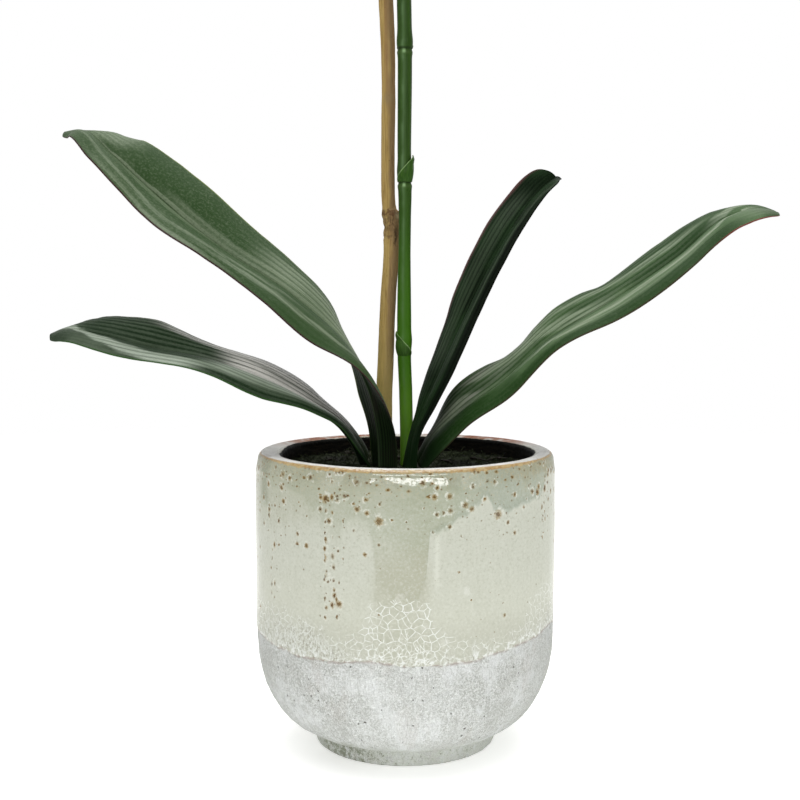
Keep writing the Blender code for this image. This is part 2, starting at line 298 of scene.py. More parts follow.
def ringsToFaces(rows, around, closed=False):
    # quads between rings, and a fan to each end's own middle point or else back to the first ring
    faces = []
    for i in range(rows if closed else rows - 1):
        after = (i + 1) % rows
        for j in range(around):
            k = (j + 1) % around
            faces.append((i * around + j, i * around + k, after * around + k, after * around + j))
    if not closed:
        first = rows * around
        for j in range(around):
            k = (j + 1) % around
            faces.append((first, k, j))
            faces.append((first + 1, first - around + j, first - around + k))
    return faces


def tube(path, radii, around, shape=None, share=None):
    # shape(walked, angle) scales the radius; coord is distance walked, angle, share; all in mm
    path = np.asarray(path, float)
    share = np.zeros(len(path)) if share is None else share
    ahead = unit(np.gradient(path, axis=0))
    side = np.zeros_like(path)
    side[0] = unit(np.cross(ahead[0], (0.13, 1, 0.21)))
    for i in range(1, len(path)):
        kept = side[i - 1] - ahead[i] * side[i - 1].dot(ahead[i])
        side[i] = kept / np.linalg.norm(kept)
    other = np.cross(ahead, side)
    angle = circle(around)
    walked = walkedAlong(path)
    reach = np.asarray(radii, float)[:, None] * np.ones(around)
    if shape is not None:
        reach = reach * shape(walked[:, None], angle[None, :])
    ring = side[:, None] * np.cos(angle)[:, None] + other[:, None] * np.sin(angle)[:, None]
    points = (path[:, None] + ring * reach[..., None]).reshape(-1, 3)
    points = np.concatenate([points, path[:1], path[-1:]])
    coord = grid(walked[:, None], angle, share[:, None]).reshape(-1, 3)
    coord = np.concatenate([coord, [(0, 0, share[0]), (walked[-1], 0, share[-1])]])
    return points, ringsToFaces(len(path), around), coord


def merged(skins):
    # many small closed skins as one
    points, faces, base = [], [], 0
    for skin in skins:
        points.append(skin[0])
        faces += [tuple(base + v for v in face) for face in skin[1]]
        base += len(skin[0])
    return np.concatenate(points), faces


# camera, floor and light
studio = {
    "cameraAt": (0, -0.6457, 0.22874), "cameraTilt": 85.16, "cameraTurn": 0.238, "lens": 57.4875,
    "sensor": 36,
    "floorRadius": 2, "floorColour": (0.9, 0.9, 0.89, 1), "floorRough": 0.9, "floorGlow": 0.42,
    "floorClear": (0.55, 1.6),      # the floor fades into the white surround between these radii
    "dim": 0.14,                    # light from all round
    "behind": (-0.15, 0.6, 0.72), "above": (0.45, 0.95, 0.55),      # more of it: from, to, how much
    "boxes": {                      # place, aimed at, width, height, watts
        "overhead": ((0, 0.1, 1.9), (0, 0, 0.15), 1.8, 1.8, 24),
        "lipBox": ((0.06, -2.2, 0.78), (0, 0, 0.14), 2.5, 0.36, 15),
        "leftBox": ((-1.7, -1.2, 0.75), (0, 0, 0.12), 0.6, 1.4, 3),
        "rightBox": ((1.6, -1.3, 0.75), (0, 0, 0.12), 0.7, 1.4, 5),
    },
}


def setStudio():
    scene = bpy.context.scene
    scene.view_settings.view_transform = "Standard"
    eye = bpy.data.cameras.new("eye")
    eye.lens = studio["lens"]
    eye.sensor_width = studio["sensor"]
    camera = stand("eye", eye)
    camera.location = studio["cameraAt"]
    camera.rotation_euler = (math.radians(studio["cameraTilt"]), 0, math.radians(studio["cameraTurn"]))
    scene.camera = camera
    world = bpy.data.worlds.new("surround")
    world.use_nodes = True
    scene.world = world
    tree = world.node_tree
    start = Signal(tree)
    seen = start.node("LightPath")
    away, upward = start.node("TexCoord").parts()[1:]
    glow = studio["dim"]
    for way, (low, high, much) in ((away, studio["behind"]), (upward, studio["above"])):
        glow = glow + way.rise(low, high) * much
    dim = start.node("Background", {}, {"Color": (1, 1, 1), "Strength": glow})
    bright = start.node("Background", {}, {"Color": (1, 1, 1), "Strength": 1})
    both = start.node("MixShader", {}, {0: seen, 1: dim, 2: bright})
    tree.links.new(both.socket, tree.nodes["World Output"].inputs["Surface"])
    for name, (place, aim, width, height, watts) in studio["boxes"].items():
        lamp = bpy.data.lights.new(name, "AREA")
        lamp.shape = "RECTANGLE"
        lamp.size = width
        lamp.size_y = height
        lamp.energy = watts
        box = stand(name, lamp)
        box.location = place
        box.rotation_euler = (Vector(aim) - Vector(place)).to_track_quat("-Z", "Y").to_euler()


def makeFloor():
    sheet = bmesh.new()
    bmesh.ops.create_circle(sheet, cap_ends=True, segments=96, radius=studio["floorRadius"])
    mesh = bpy.data.meshes.new("floor")
    sheet.to_mesh(mesh)
    sheet.free()
    floor = stand("floor", mesh)
    paper = bpy.data.materials.new("paperFloor")
    paper.use_nodes = True
    tree = paper.node_tree
    shader = tree.nodes["Principled BSDF"]
    shader.inputs["Base Color"].default_value = studio["floorColour"]
    shader.inputs["Roughness"].default_value = studio["floorRough"]
    shader.inputs["Emission Color"].default_value = (1, 1, 1, 1)
    shader.inputs["Emission Strength"].default_value = studio["floorGlow"]
    start = Signal(tree)
    far = start.node("VectorMath", {"operation": "LENGTH"}, {0: start.node("TexCoord", out=3)}, out=1)
    lit = Signal(tree, shader.outputs[0])
    clear = start.node("BsdfTransparent")
    both = start.node("MixShader", {}, {0: far.rise(*studio["floorClear"]), 1: lit, 2: clear})
    tree.links.new(both.socket, tree.nodes["Material Output"].inputs["Surface"])
    mesh.materials.append(paper)


setStudio()
makeFloor()
say("studio")

# pot; all sizes in mm
pot = {
    "height": 149, "radius": 76, "wall": 11.4, "straightFrom": 63.8, "turn": 43.2, "power": 2.45,
    "bodyBottom": 6.1, "footRadius": 45.7, "footHeight": 7.8, "footEdge": 1, "lip": 3.4, "lipInner": 1.6,
    "leans": ((115, 139.5, 0.35), (139.5, 145.6, 1)),       # from, to, how far in
    "rimSlope": 0.16, "floor": 13, "around": 300,
    "innerRings": (146, 145.2, 144.4, 143, 141, 138, 130, 110, 85),     # heights, down the inner wall
    "floorRings": (0, 0.35, 0.6, 0.8, 0.92, 0.98, 1),       # shares of the way from there to the floor
    "perDegree": 1.326,     # mm along the side
    "ripple": 0.22, "glazeThick": 0.3, "runThick": 0.16, "runBead": 0.12,
    "grain": 0.16, "coarse": 0.2, "hollow": 0.45,
    # where the glaze ends: degrees from the front (right positive), height
    "glazeEnd": [(-180, 60), (-130, 57.5), (-90, 60.5), (-68, 60.2), (-52, 58.9), (-40, 57.6), (-27, 58.2),
                 (-12, 60), (0, 58.3), (12, 58.4), (23, 59), (35, 61.2), (51, 63), (68, 65.4), (95, 63),
                 (140, 58.5), (180, 60)],
    # lower edge of the grey-green runs
    "runEnd": [(-180, 126), (-150, 112), (-128, 128), (-104, 131), (-78, 141), (-62, 141), (-56, 134.5),
               (-49, 137), (-40, 134.5), (-30, 124.5), (-23, 120.5), (-18, 127), (-12.5, 124), (-9.5, 96),
               (-6, 90), (4, 89), (6.8, 98), (8.6, 119), (14, 122), (20, 127), (26, 131.5), (29.5, 135.5),
               (33, 129), (39, 127.5), (48, 130), (58, 131), (66, 142), (90, 138), (116, 118), (140, 131),
               (180, 126)],
    # how high the white crackle climbs above the glaze end
    "crackleTop": [(-180, 74), (-120, 82), (-85, 80), (-60, 80), (-44, 79), (-33, 75), (-22, 71), (-16, 74),
                   (-12.5, 87), (0, 90), (8, 89), (10.5, 76), (18, 71), (34, 68), (45, 71), (52, 84),
                   (62, 89), (80, 84), (120, 70), (150, 84), (180, 74)],
    "cream": (0.515, 0.53, 0.45), "creamLow": (0.54, 0.552, 0.465), "creamTop": (0.43, 0.44, 0.345),
    "run": (0.357, 0.382, 0.285), "runCool": (0.365, 0.4, 0.325), "column": (0.385, 0.39, 0.295),
    "ochre": (0.36, 0.2, 0.055), "rust": (0.24, 0.085, 0.035), "rimTop": (0.72, 0.715, 0.685),
    "pitCore": (0.11, 0.052, 0.018), "pitEdge": (0.33, 0.22, 0.065), "inside": (0.005, 0.005, 0.004),
    "crackle": (0.8, 0.825, 0.79), "seam": (0.33, 0.255, 0.225), "stain": (0.63, 0.66, 0.59),
    "chalk": (0.735, 0.76, 0.73), "chalkDark": (0.59, 0.605, 0.57), "chalkLight": (0.87, 0.89, 0.875),
    "chalkPit": (0.11, 0.1, 0.085),
}


def potSide(height, bottom, reach):
    rise = np.clip((pot["straightFrom"] - height) / (pot["straightFrom"] - bottom), 0, 1)
    return pot["radius"] - pot["turn"] + reach * (1 - rise ** pot["power"]) ** (1 / pot["power"])


def potWall(height):
    # the straight side, which leans in a little towards the lip
    return pot["radius"] - sum(much * max(0, min(1, (height - low) / (high - low))) ** 1.2
                               for low, high, much in pot["leans"])


def potProfile():
    # (radius, height, outer share) from under the foot, up the outside, over the lip, down to the floor
    foot, footTop, footEdge = pot["footRadius"], pot["footHeight"], pot["footEdge"]
    high, straight, lip, lipInner = pot["height"], pot["straightFrom"], pot["lip"], pot["lipInner"]
    rows = [(foot * s, 0, 0) for s in (0.25, 0.5, 0.75, 0.9)]
    rows += [(foot - footEdge, 0, 0.3), (foot - 0.3, 0.3, 0.7)]
    rows += [(foot + 1.7 * z / footTop, z, 1) for z in np.linspace(footEdge, footTop - 0.3, 9)]
    turned = footTop + (straight - footTop) * np.linspace(0, 1, 96) ** 1.55
    rows += [(potSide(z, pot["bodyBottom"], pot["turn"]), z, 1) for z in turned]
    rows += [(potWall(z), z, 1) for z in np.linspace(straight, high - lip, 112)[1:]]
    bend = potWall(high - lip) - lip
    rows += [(bend + lip * math.cos(a), high - lip + lip * math.sin(a), 1)
             for a in np.radians(np.linspace(6, 90, 15))]
    inner = pot["radius"] - pot["wall"]
    rows += [(r, high - pot["rimSlope"] * (bend - r), 0.6)
             for r in np.linspace(bend, inner + lipInner, 8)[1:]]
    edge = high - pot["rimSlope"] * (bend - inner - lipInner)
    rows += [(inner + lipInner * (1 - math.sin(a)), edge - lipInner * (1 - math.cos(a)), 0.5)
             for a in np.radians((25, 50, 75, 90))]
    rows += [(inner, z, 0.2) for z in pot["innerRings"]]
    for share in pot["floorRings"]:
        z = straight - share * (straight - pot["floor"])
        rows.append((potSide(z, pot["floor"], pot["turn"] - pot["wall"]), z, 0))
    return np.array(rows + [(16, pot["floor"], 0), (6, pot["floor"], 0)])


def makePot():
    profile = potProfile()
    around = pot["around"]
    turn = circle(around)
    radius, height, outer = (profile[:, i][:, None] for i in range(3))
    points = grid(radius * np.sin(turn), -radius * np.cos(turn), height)
    tangent = np.gradient(profile[:, :2], axis=0)
    normal = unit(np.stack([tangent[:, 1], -tangent[:, 0]], -1))
    degrees = np.degrees((turn + math.pi) % fullTurn - math.pi)
    runs = drawn(pot["runEnd"], degrees)
    glazed = softStep(-0.5, 0.5, height - drawn(pot["glazeEnd"], degrees) - rippled(points, 0.25, 3, 5) * 1.6)
    push = pot["ripple"] * rippled(points, 0.022, 2, 1) + 0.06 * rippled(points, 0.11, 2, 9)
    push = push + pot["glazeThick"] * glazed + pot["runThick"] * softStep(-1.5, 1, height - runs) * glazed
    push = push + pot["runBead"] * np.exp(-((height - runs) / 1.6) ** 2) * glazed
    bare = pot["grain"] * rippled(points, 0.33, 4, 3) + pot["coarse"] * rippled(points, 0.1, 3, 7)
    bare = bare - pot["hollow"] * softStep(0.52, 0.75, rippled(points, 0.21, 2, 15))
    push = push + (1 - glazed) * bare
    # the glaze is lumpy where it turns over the lip
    curl = softStep(137, 144, height) * softStep(148.9, 147.5, height)
    push = push + curl * (0.13 * rippled(points, 0.19, 2, 33) + 0.06 * rippled(points, 0.5, 2, 35))
    push = push * outer - pot["glazeThick"] * outer
    offset = normal[:, None, :] * push[..., None]
    points[..., 0] += offset[..., 0] * np.sin(turn)
    points[..., 1] -= offset[..., 0] * np.cos(turn)
    points[..., 2] += offset[..., 1] * (1 - 0.7 * softStep(pot["height"] - 1.2, pot["height"], height))
    # the thrown rim isn't quite level, and its inner edge wanders
    level = rippled(grid(np.sin(turn) * 76, -np.cos(turn) * 76, 0), 0.013, 1, 2)
    points[..., 2] += 0.35 * level * softStep(110, 149, height)
    mouth = np.exp(-((radius - 65.2) / 1.4) ** 2) * softStep(140, 147, height)
    points[..., :2] *= (1 + 0.008 * mouth * rippled(points, 0.09, 3, 12))[..., None]
    # on the left the rim is thicker: the glaze has crept over its inner edge
    crept = np.exp(-((degrees + 92) / 22) ** 2) * softStep(135, 145, height) * softStep(72, 66, radius)
    points[..., :2] *= (1 - 0.042 * crept * (1 - outer * (height < 100)))[..., None]
    points[..., 2] = np.maximum(points[..., 2], 0)
    points = np.concatenate([points.reshape(-1, 3), [(0, 0, 0)], [(0, 0, pot["floor"])]])
    skin = (points, ringsToFaces(len(profile), around))
    thing = addPiece("glazed_pot", skin, potFinish, "pot")
    thing.data.materials.append(innerFinish)
    inner = np.repeat((outer[:-1, 0] < 0.25) & (height[:-1, 0] > 5), around)
    thing.data.polygons.foreach_set("material_index", np.append(inner, np.zeros(2 * around)).astype(np.int32))


def potLook(place):
    x, y, h = place.parts()
    turn = x.math("ARCTAN2", y * -1) * math.degrees(1)
    away = abs(turn)
    reach = (x * x + y * y).math("SQRT")
    plane = vectorOf(turn * math.radians(pot["radius"]), h, 0)      # the side unrolled
    broad = place.noise(0.022)
    middle = place.noise(0.11, 3)
    small = place.noise(0.45, 3)
    fine = place.noise(1.9, 3, 0.6)
    ragged = place.noise(0.25, 4).swing(5) + fine.swing(1.4)

    def drawnOut(stretch, shift, *sizes):
        # noise on the unrolled side; a small stretch draws it out up and down
        return vectorOf(turn * pot["perDegree"], h * stretch, shift).noise(*sizes)

    # cream glaze, greyer under the lip on the left, with grey-green runs
    drips = drawnOut(0.18, 9, 0.22, 3)
    shade = (h + broad.swing(40) + drips.swing(26)).rise(112, 134)
    cream = laid(
        h.rise(110, 76).mix(pot["cream"], pot["creamLow"]),
        (h + drips.swing(16), 84, 66, 0.6, (0.435, 0.44, 0.36)),
        (shade * turn.rise(12, -25) * 0.8, pot["creamTop"]),
        (drips, 0.52, 0.7, 0.25, (0.455, 0.47, 0.385)),
        (middle, 0.55, 0.75, 0.2, (0.585, 0.595, 0.52)),
    )
    crisp = turn.rise(-8, 8)
    hang = h - turn.along(-180, 180, pot["runEnd"], 160) + ragged * 0.45 + drips.swing(crisp.blend(12, 5))
    run = crisp.blend(hang.rise(-7, 6) * 0.62, hang.rise(-1.8, 1.2))
    runColour = laid(
        (turn.rise(10, 36) * h.rise(112, 128)).mix(pot["run"], pot["runCool"]),
        (h.rise(122, 104), pot["column"]),
        (middle, 0.45, 0.7, 0.4, (0.4, 0.415, 0.325)),
    )
    # the middle run goes on, fainter, down to the end of the glaze
    trail = (turn + drips.swing(5)).near(-1, 13).rise(0, 0.45) * h.rise(112, 96)
    flank = (turn - ragged * 0.3).near(11, 1.6) * h.rise(92, 98) * h.rise(122, 116)
    # olive where it is thin just under the lip, most of all on the right
    thin = (h + drips.swing(16) + small.swing(4)).rise(137, 147)
    hook = (turn + ragged * 0.5).near(-64, 7) * (h + drips.swing(6)).rise(124, 130)
    # fine mottling, golden and rough near the lip
    mottled = place.noise(0.8, 4, 0.7)
    high = h.rise(80, 125)
    golden = (mottled + fine * 0.4).rise(0.74, 0.84) * h.rise(128, 145)

    # pits burnt through the glaze: a band under the lip, streaks, a few elsewhere
    band = (h + broad.swing(22)).rise(110, 128) * h.rise(148.4, 147)
    density = band * (0.4 - 0.28 * turn.near(2, 24)) + turn.near(14, 48) * band * 0.12 + h.rise(70, 80) * 0.07
    drift = drips.swing(7)
    streak = ((turn + drift).near(-26.5, 6.5) * h.rise(72, 90)
              + (turn + drift * 0.4).near(-56.5, 3) * h.rise(80, 87) * h.rise(122, 112) * 0.7
              + turn.near(60, 14) * h.rise(95, 112) * 0.45 + turn.near(150, 9) * 0.7)
    upper = h.rise(133, 141) * h.rise(148, 146.5)
    wide = band * (0.16 + 0.3 * turn.near(18, 16)) + streak * 0.25 + 0.03
    usual = scattered(plane, 6.2, density, 0.58, 1)
    streaky = scattered(plane.times((1, 0.7, 1)), 3.2, streak * 0.85, 0.46, 2)
    tiny = scattered(plane, 2.5, band * 0.2 + streak * 0.2 + 0.015, 0.26, 3)
    topmost = scattered(plane.times((0.8, 1.1, 1)), 3.8, upper * 0.6, 0.42, 5)
    large = scattered(plane, 9.5, wide, 0.92, 7)
    core, halo = (usual[i].most(streaky[i], topmost[i], large[i]) for i in (0, 1))
    ring = usual[2].most(streaky[2], large[2]) * (1 - halo)

    # white crackle over the lower glaze
    bent = plane.shifted(plane.noise(0.12, 1, out=1).shifted((-0.5, -0.5, 0)).times((3, 3, 0)))
    nets = []
    for move, scale, stretch in ((0, 0.25, 1.1), (41, 0.22, 0.9), (83, 0.42, 0.75)):
        spread = bent.shifted((move, 0.7 * move, 0)).times((1, stretch, 1))
        net = bent.node("TexVoronoi", {"feature": "DISTANCE_TO_EDGE", "voronoi_dimensions": "2D"},
                        {"Vector": spread, "Scale": scale})
        nets.append(net / scale)
    spare = nets[1].rise(0.24, 0.1) * place.noise(0.16, 1).rise(0.56, 0.62)
    centre = (turn + small.swing(8)).near(-2.5, 21).rise(0, 0.45)
    lowest = h - turn.along(-180, 180, pot["crackleTop"], 160) + small.swing(10)
    lines = nets[0].rise(0.28, 0.12).most(spare).most(nets[2].rise(0.26, 0.1) * lowest.rise(-16, -26) * 0.8)
    broken = place.noise(0.5).rise(0.36, 0.58)
    crack = lines * lowest.rise(1, -2) * centre.blend(0.15 + 0.55 * broken, 0.35 + 0.65 * broken)
    lift = turn.near(-48, 38) * 12 + turn.near(62, 26) * 9
    frost = (h - 58 - lift + small.swing(20) + drips.swing(34) + middle.swing(14)).rise(11, -5)
    frost = frost * (1 - 0.75 * centre)
    flecks = drawnOut(0.55, 17, 1.15, 4, 0.72)
    speckled = (flecks * 0.8 + fine * 0.3 + small * 0.4).rise(0.71, 0.84)
    blotch = scattered(plane, 11, 0.22 * h.rise(112, 80), 1, 9)[1] * small.rise(0.4, 0.6)
    colour = laid(
        cream,
        (run * (0.7 + 0.3 * small.rise(0.25, 0.6)), runColour),
        (hang.near(0.8, 2.8) * crisp * run * 0.3, (0.3, 0.345, 0.29)),
        (trail * (0.48 + 0.3 * h.rise(78, 100)), (0.41, 0.413, 0.32)),
        (flank * 0.55, (0.65, 0.665, 0.58)),
        (thin * (0.3 + 0.55 * turn.near(60, 26)), (0.32, 0.305, 0.19)),
        (hook * 0.7, (0.25, 0.272, 0.185)),
        (mottled.rise(0.52, 0.64) * (0.42 - 0.2 * high), (0.62, 0.635, 0.56)),
        (mottled.rise(0.48, 0.34) * (0.22 + 0.16 * high), (0.31, 0.315, 0.22)),
        (golden * 0.4, (0.38, 0.27, 0.09)),
        # pale rings round the pits: painted glints
        (ring * small.rise(0.46, 0.58) * (0.35 + 0.4 * run), (0.72, 0.73, 0.66)),
        (halo * (0.3 + 0.55 * usual[3]), pot["pitEdge"]),
        ((tiny[1] * 0.3 + tiny[0] * 0.5).capped(), (0.2, 0.14, 0.06)),
        (core * (0.5 + 0.4 * streaky[3]), pot["pitCore"]),
        (crack * 0.85, pot["crackle"]),
        (frost * (0.12 + 0.68 * speckled), (0.68, 0.702, 0.668)),
        (frost * (flecks * 0.7 + fine * 0.3).rise(0.5, 0.41) * 0.8, (0.31, 0.3, 0.24)),
        (blotch * 0.25, (0.82, 0.83, 0.79)),
    )

    # bare body below the glaze
    above = h - turn.along(-180, 180, pot["glazeEnd"], 160) + ragged * 0.42
    glazed = above.rise(-0.35, 0.35)
    mottle = place.noise(0.9, 6, 0.72).rise(0.4, 0.58)
    grit = place.noise(3.6, 2, 0.6)
    coarse = place.noise(1.25, 3, 0.75)
    veil = drawnOut(1, 14, 0.055, 3, 0.6)
    scratch = drawnOut(0.22, 3, 1.5, 4, 0.65)
    umber = drawnOut(0.45, 6, 0.09).rise(0.54, 0.68) * grit.rise(0.6, 0.44)
    # bright: the front of the bare body, painted lighter as if lit
    bright = (turn + veil.swing(60)).near(-1, 34)
    pit = scattered(plane, 4.8, 0.12 + 0.26 * middle.rise(0.45, 0.65), 0.46, 6)[0]
    low = (h + middle.swing(10)).rise(16, 8)
    mould = fine * 0.6 + small * 0.6 + turn.near(-42, 40) * 0.13 - turn.near(10, 30) * 0.03
    chalk = laid(
        mottle.mix(pot["chalkDark"], pot["chalk"]),
        (middle, 0.38, 0.62, 0.35, pot["chalkLight"]),
        (grit.rise(0.52, 0.42) * (0.44 + 0.5 * small.rise(0.56, 0.42)), (0.33, 0.34, 0.305)),
        (grit, 0.55, 0.64, 0.8, (0.9, 0.91, 0.9)),
        (coarse, 0.47, 0.37, 0.78, (0.365, 0.37, 0.335)),
        (coarse, 0.54, 0.63, 0.6, (0.9, 0.91, 0.905)),
        (veil, 0.5, 0.64, 0.55, (0.84, 0.86, 0.855)),
        (veil.rise(0.46, 0.34) * fine.rise(0.62, 0.46) * 0.4, (0.44, 0.445, 0.41)),
        (scratch, 0.55, 0.68, 0.45, pot["chalkLight"]),
        (scratch, 0.46, 0.35, 0.55, (0.4, 0.41, 0.375)),
        (umber * 0.26, (0.39, 0.33, 0.27)),
        # lighter towards the front, darker towards the sides: painted light and shade
        (bright * 0.26, (0.86, 0.885, 0.86)),
        ((1 - bright) * away.rise(20, 75) * 0.3, (0.47, 0.485, 0.455)),
        (pit * 0.9, pot["chalkPit"]),
        (low * small.rise(0.25, 0.6) * 0.7, pot["stain"]),
        (low * mould.rise(0.67, 0.76) * 0.7, (0.15, 0.165, 0.09)),
        (h.near(8.3, 1) * mould.rise(0.52, 0.66) * 0.6, (0.18, 0.18, 0.12)),
        (h.rise(1.2, 0.1) * small.rise(0.3, 0.6) * 0.5, (0.15, 0.155, 0.12)),
    )
    seam = (above + small.swing(1.2)).near(0.1, 1.3) * place.noise(0.3).rise(0.4, 0.56)
    flaked = above.near(1.5, 5) * place.noise(0.5, 3).rise(0.52, 0.62)

    # lip: ochre where the glaze thins over the outer edge, pale on top, rusty at the back
    lipFall = h + small.swing(1.8) + fine.swing(0.9)
    ochreMask = (lipFall + away.rise(62, 25) * 0.9).rise(147.6, 148.2) * reach.rise(72, 72.8)
    behind = away.rise(95, 130)
    ochre = small.rise(0.3, 0.7).mix(behind.mix(pot["ochre"], pot["rust"]), (0.5, 0.37, 0.17))
    topMask = h.rise(147.9, 148.5) * (reach + small.swing(0.9)).rise(73.4, 72.7)
    paleTop = laid(
        middle.rise(0.35, 0.65).mix(pot["rimTop"], (0.6, 0.59, 0.55)),
        (fine, 0.6, 0.72, 0.4, (0.33, 0.28, 0.23)),
        (behind * middle.rise(0.66, 0.46), (0.25, 0.09, 0.04)),
        (small, 0.62, 0.74, 0.5, (0.3, 0.29, 0.2)),
    )
    creep = turn.near(-92, 30) * 3
    within = (reach + creep + small.swing(1.6) + fine.swing(0.8)).rise(66.2, 65.6) * h.rise(100, 110)
    body = laid(chalk, (glazed, colour), (seam * 0.6, pot["seam"]), (flaked * 0.65, (0.8, 0.82, 0.795)),
                (ochreMask * 0.88, ochre), (topMask, paleTop), (within, pot["inside"]))

    rough = glazed.blend(0.86, 0.13 + 0.1 * small)
    for mask, value in ((h.rise(136, 143) * glazed * 0.8, 0.09), (topMask * 0.7, 0.38), (core * glazed, 0.55),
                        (crack * glazed * 0.6, 0.45), (frost * glazed * 0.8, 0.6), (within, 0.6)):
        rough = mask.blend(rough, value)
    lumps = place.noise(0.75, 2, 0.6)
    curl = h.rise(139, 144)
    glazeBump = (small * (0.05 + 0.4 * curl) + lumps * 0.55 * curl + middle * 0.12
                 - core * 0.42 + halo * 0.09 - tiny[0] * 0.12 - crack * 0.05)
    chalkBump = fine * 0.18 + grit * 0.1 + mottle * 0.16 - pit * 0.5 + scratch * 0.16
    wet = h.rise(139, 143) * turn.near(-2, 34).rise(0, 0.6) * lumps.rise(0.42, 0.52)
    gloss = glazed * (0.22 * away.rise(76, 40) + 0.78 * wet)
    gloss = gloss * (1 - frost * 0.8) * (1 - core) * (1 - within) * (1 - topMask * 0.6)
    return body, rough, glazed.blend(chalkBump, glazeBump), gloss


def innerLook(place):
    ripple = place.times((0.4, 0.4, 1.6)).noise(0.5, 3)
    specks = place.noise(1.2, 3)
    colour = laid(ripple.rise(0.4, 0.7).mix(pot["inside"], (0.014, 0.012, 0.009)),
                  (specks, 0.62, 0.74, 0.5, (0.035, 0.022, 0.014)))
    return colour, 0.45 + 0.3 * specks, ripple * 0.3 + specks * 0.1


potFinish = finish("glazedStoneware", potLook, {"IOR": 1.12, "Coat Roughness": 0.06, "Coat IOR": 2})
innerFinish = finish("blackInnerWall", innerLook, {"IOR": 1.12})
makePot()
say("pot")

# planting mix
mix = {
    "top": 140.2, "plateau": 139.2, "rings": 96, "around": 200, "gap": 0.4,
    "strands": 1300, "strandReach": 62.5, "strandEnd": 63.6, "strandLength": (2.2, 5.5),
    "strandRadii": (0.22, 0.2, 0.15, 0.05),
    "chips": 16, "chipReach": (27, 58), "chipEnd": 63, "chipLength": (5, 11), "chipWidth": (3, 6.5),
    "chipThick": (1.1, 2.2),
    "moss": (0.007, 0.011, 0.003), "mossTip": (0.03, 0.044, 0.01), "peat": (0.004, 0.004, 0.002),
    "bark": (0.022, 0.016, 0.009), "barkDark": (0.006, 0.005, 0.003),
}


def mixHeight(x, y):
    # surface of the mix: level in the middle, lumpy outside it
    far = np.hypot(x, y)
    spots = grid(x, y, 0.0)
    lumps = 1.3 * rippled(spots, 0.13, 3, 21) + 0.55 * rippled(spots, 0.55, 3, 23)
    settled = mix["plateau"] + (mix["top"] - mix["plateau"]) * softStep(27, 38, far)
    return settled + (0.5 + lumps) * (0.35 + 0.65 * softStep(14, 30, far)) - 0.8 * softStep(61, 64, far)


def makeMix():
    wall, floor, gap, around = pot["wall"], pot["floor"], mix["gap"], mix["around"]
    inner = pot["radius"] - wall - gap
    angle = circle(around)
    rings = []
    for share in (0.45, 0.75, 0.9, 1):
        z = pot["straightFrom"] - (1 - share) * (pot["straightFrom"] - floor) + gap
        rings.append((potSide(z, floor, pot["turn"] - wall) - gap, z))
    rings += [(inner, z) for z in (90, 120, 134)]
    rings += [(r, mixHeight(r * np.cos(angle), r * np.sin(angle)))
              for r in np.linspace(inner, 0.6, mix["rings"])]
    points = np.concatenate([grid(r * np.cos(angle), r * np.sin(angle), z) for r, z in rings])
    points = np.concatenate([points, [(0, 0, floor + gap)], [(0, 0, mixHeight(0, 0))]])
    skin = (points, ringsToFaces(len(rings), around))
    addPiece("moss_bed", skin, mossFinish, "planting_mix")


def strands():
    # short curled moss fibres standing out of the bed
    for _ in range(mix["strands"]):
        far = mix["strandReach"] * math.sqrt(chance.uniform(0.03, 1))
        angle = chance.uniform(0, fullTurn)
        x, y = far * math.cos(angle), far * math.sin(angle)
        heading = chance.uniform(0, fullTurn)
        size = chance.uniform(*mix["strandLength"])
        lift = chance.uniform(0.2, 0.75)
        z = float(mixHeight(x, y))
        path = []
        for s in (0, 0.33, 0.66, 1):
            bend = heading + s * chance.uniform(-0.9, 0.9)
            path.append((x + size * s * math.cos(bend), y + size * s * math.sin(bend),
                         z - 0.5 + size * lift * math.sin(s * 2.2)))
        if max(math.hypot(p[0], p[1]) for p in path) <= mix["strandEnd"]:
            yield tube(path, mix["strandRadii"], 4)


def chips():
    # flakes of bark lying in the moss: rough slabs, thinner at their broken ends
    for index in range(mix["chips"]):
        far = chance.uniform(*mix["chipReach"])
        angle = chance.uniform(0, fullTurn)
        x, y = far * math.cos(angle), far * math.sin(angle)
        length, width, thick = (chance.uniform(*mix[key]) for key in ("chipLength", "chipWidth", "chipThick"))
        length = min(length, 2 * (mix["chipEnd"] - far))
        s, t = np.linspace(-1, 1, 12)[:, None], np.linspace(-1, 1, 9)
        flat = grid(s * length / 2, t * (1 - 0.25 * s**2) * width / 2, index * 9.0)
        rough = rippled(flat, 0.45, 3, 2)
        swell = (1 - s**4) * (1 - t**4) * thick / 2 + 0.12
        top, bottom = (grid(flat[..., 0], flat[..., 1], half + rough * 0.35) for half in (swell, -swell))
        points, faces = closedSheet(top, bottom)[:2]
        turn = Matrix.Rotation(chance.uniform(0, fullTurn), 4, "Z")
        tilt = Matrix.Rotation(chance.uniform(-0.4, 0.4), 4, "X")
        tilt = tilt @ Matrix.Rotation(chance.uniform(-0.3, 0.3), 4, "Y")
        move = np.array(Matrix.Translation((x, y, float(mixHeight(x, y)) + 0.3)) @ turn @ tilt)
        yield points @ move[:3, :3].T + move[:3, 3], faces


def mossLook(place):
    h = place.parts()[2]
    fine = place.noise(1.6, 4, 0.65)
    patch = place.noise(0.09, 3)
    colour = laid(fine.rise(0.4, 0.72).mix(mix["moss"], mix["mossTip"]),
                  (patch, 0.48, 0.62, 0.75, mix["peat"]),
                  (h.rise(140.8, 143.4) * fine.rise(0.4, 0.7) * 0.6, (0.05, 0.068, 0.018)))
    return colour, 0.75 + 0.2 * fine, fine * 0.8 + patch * 0.6


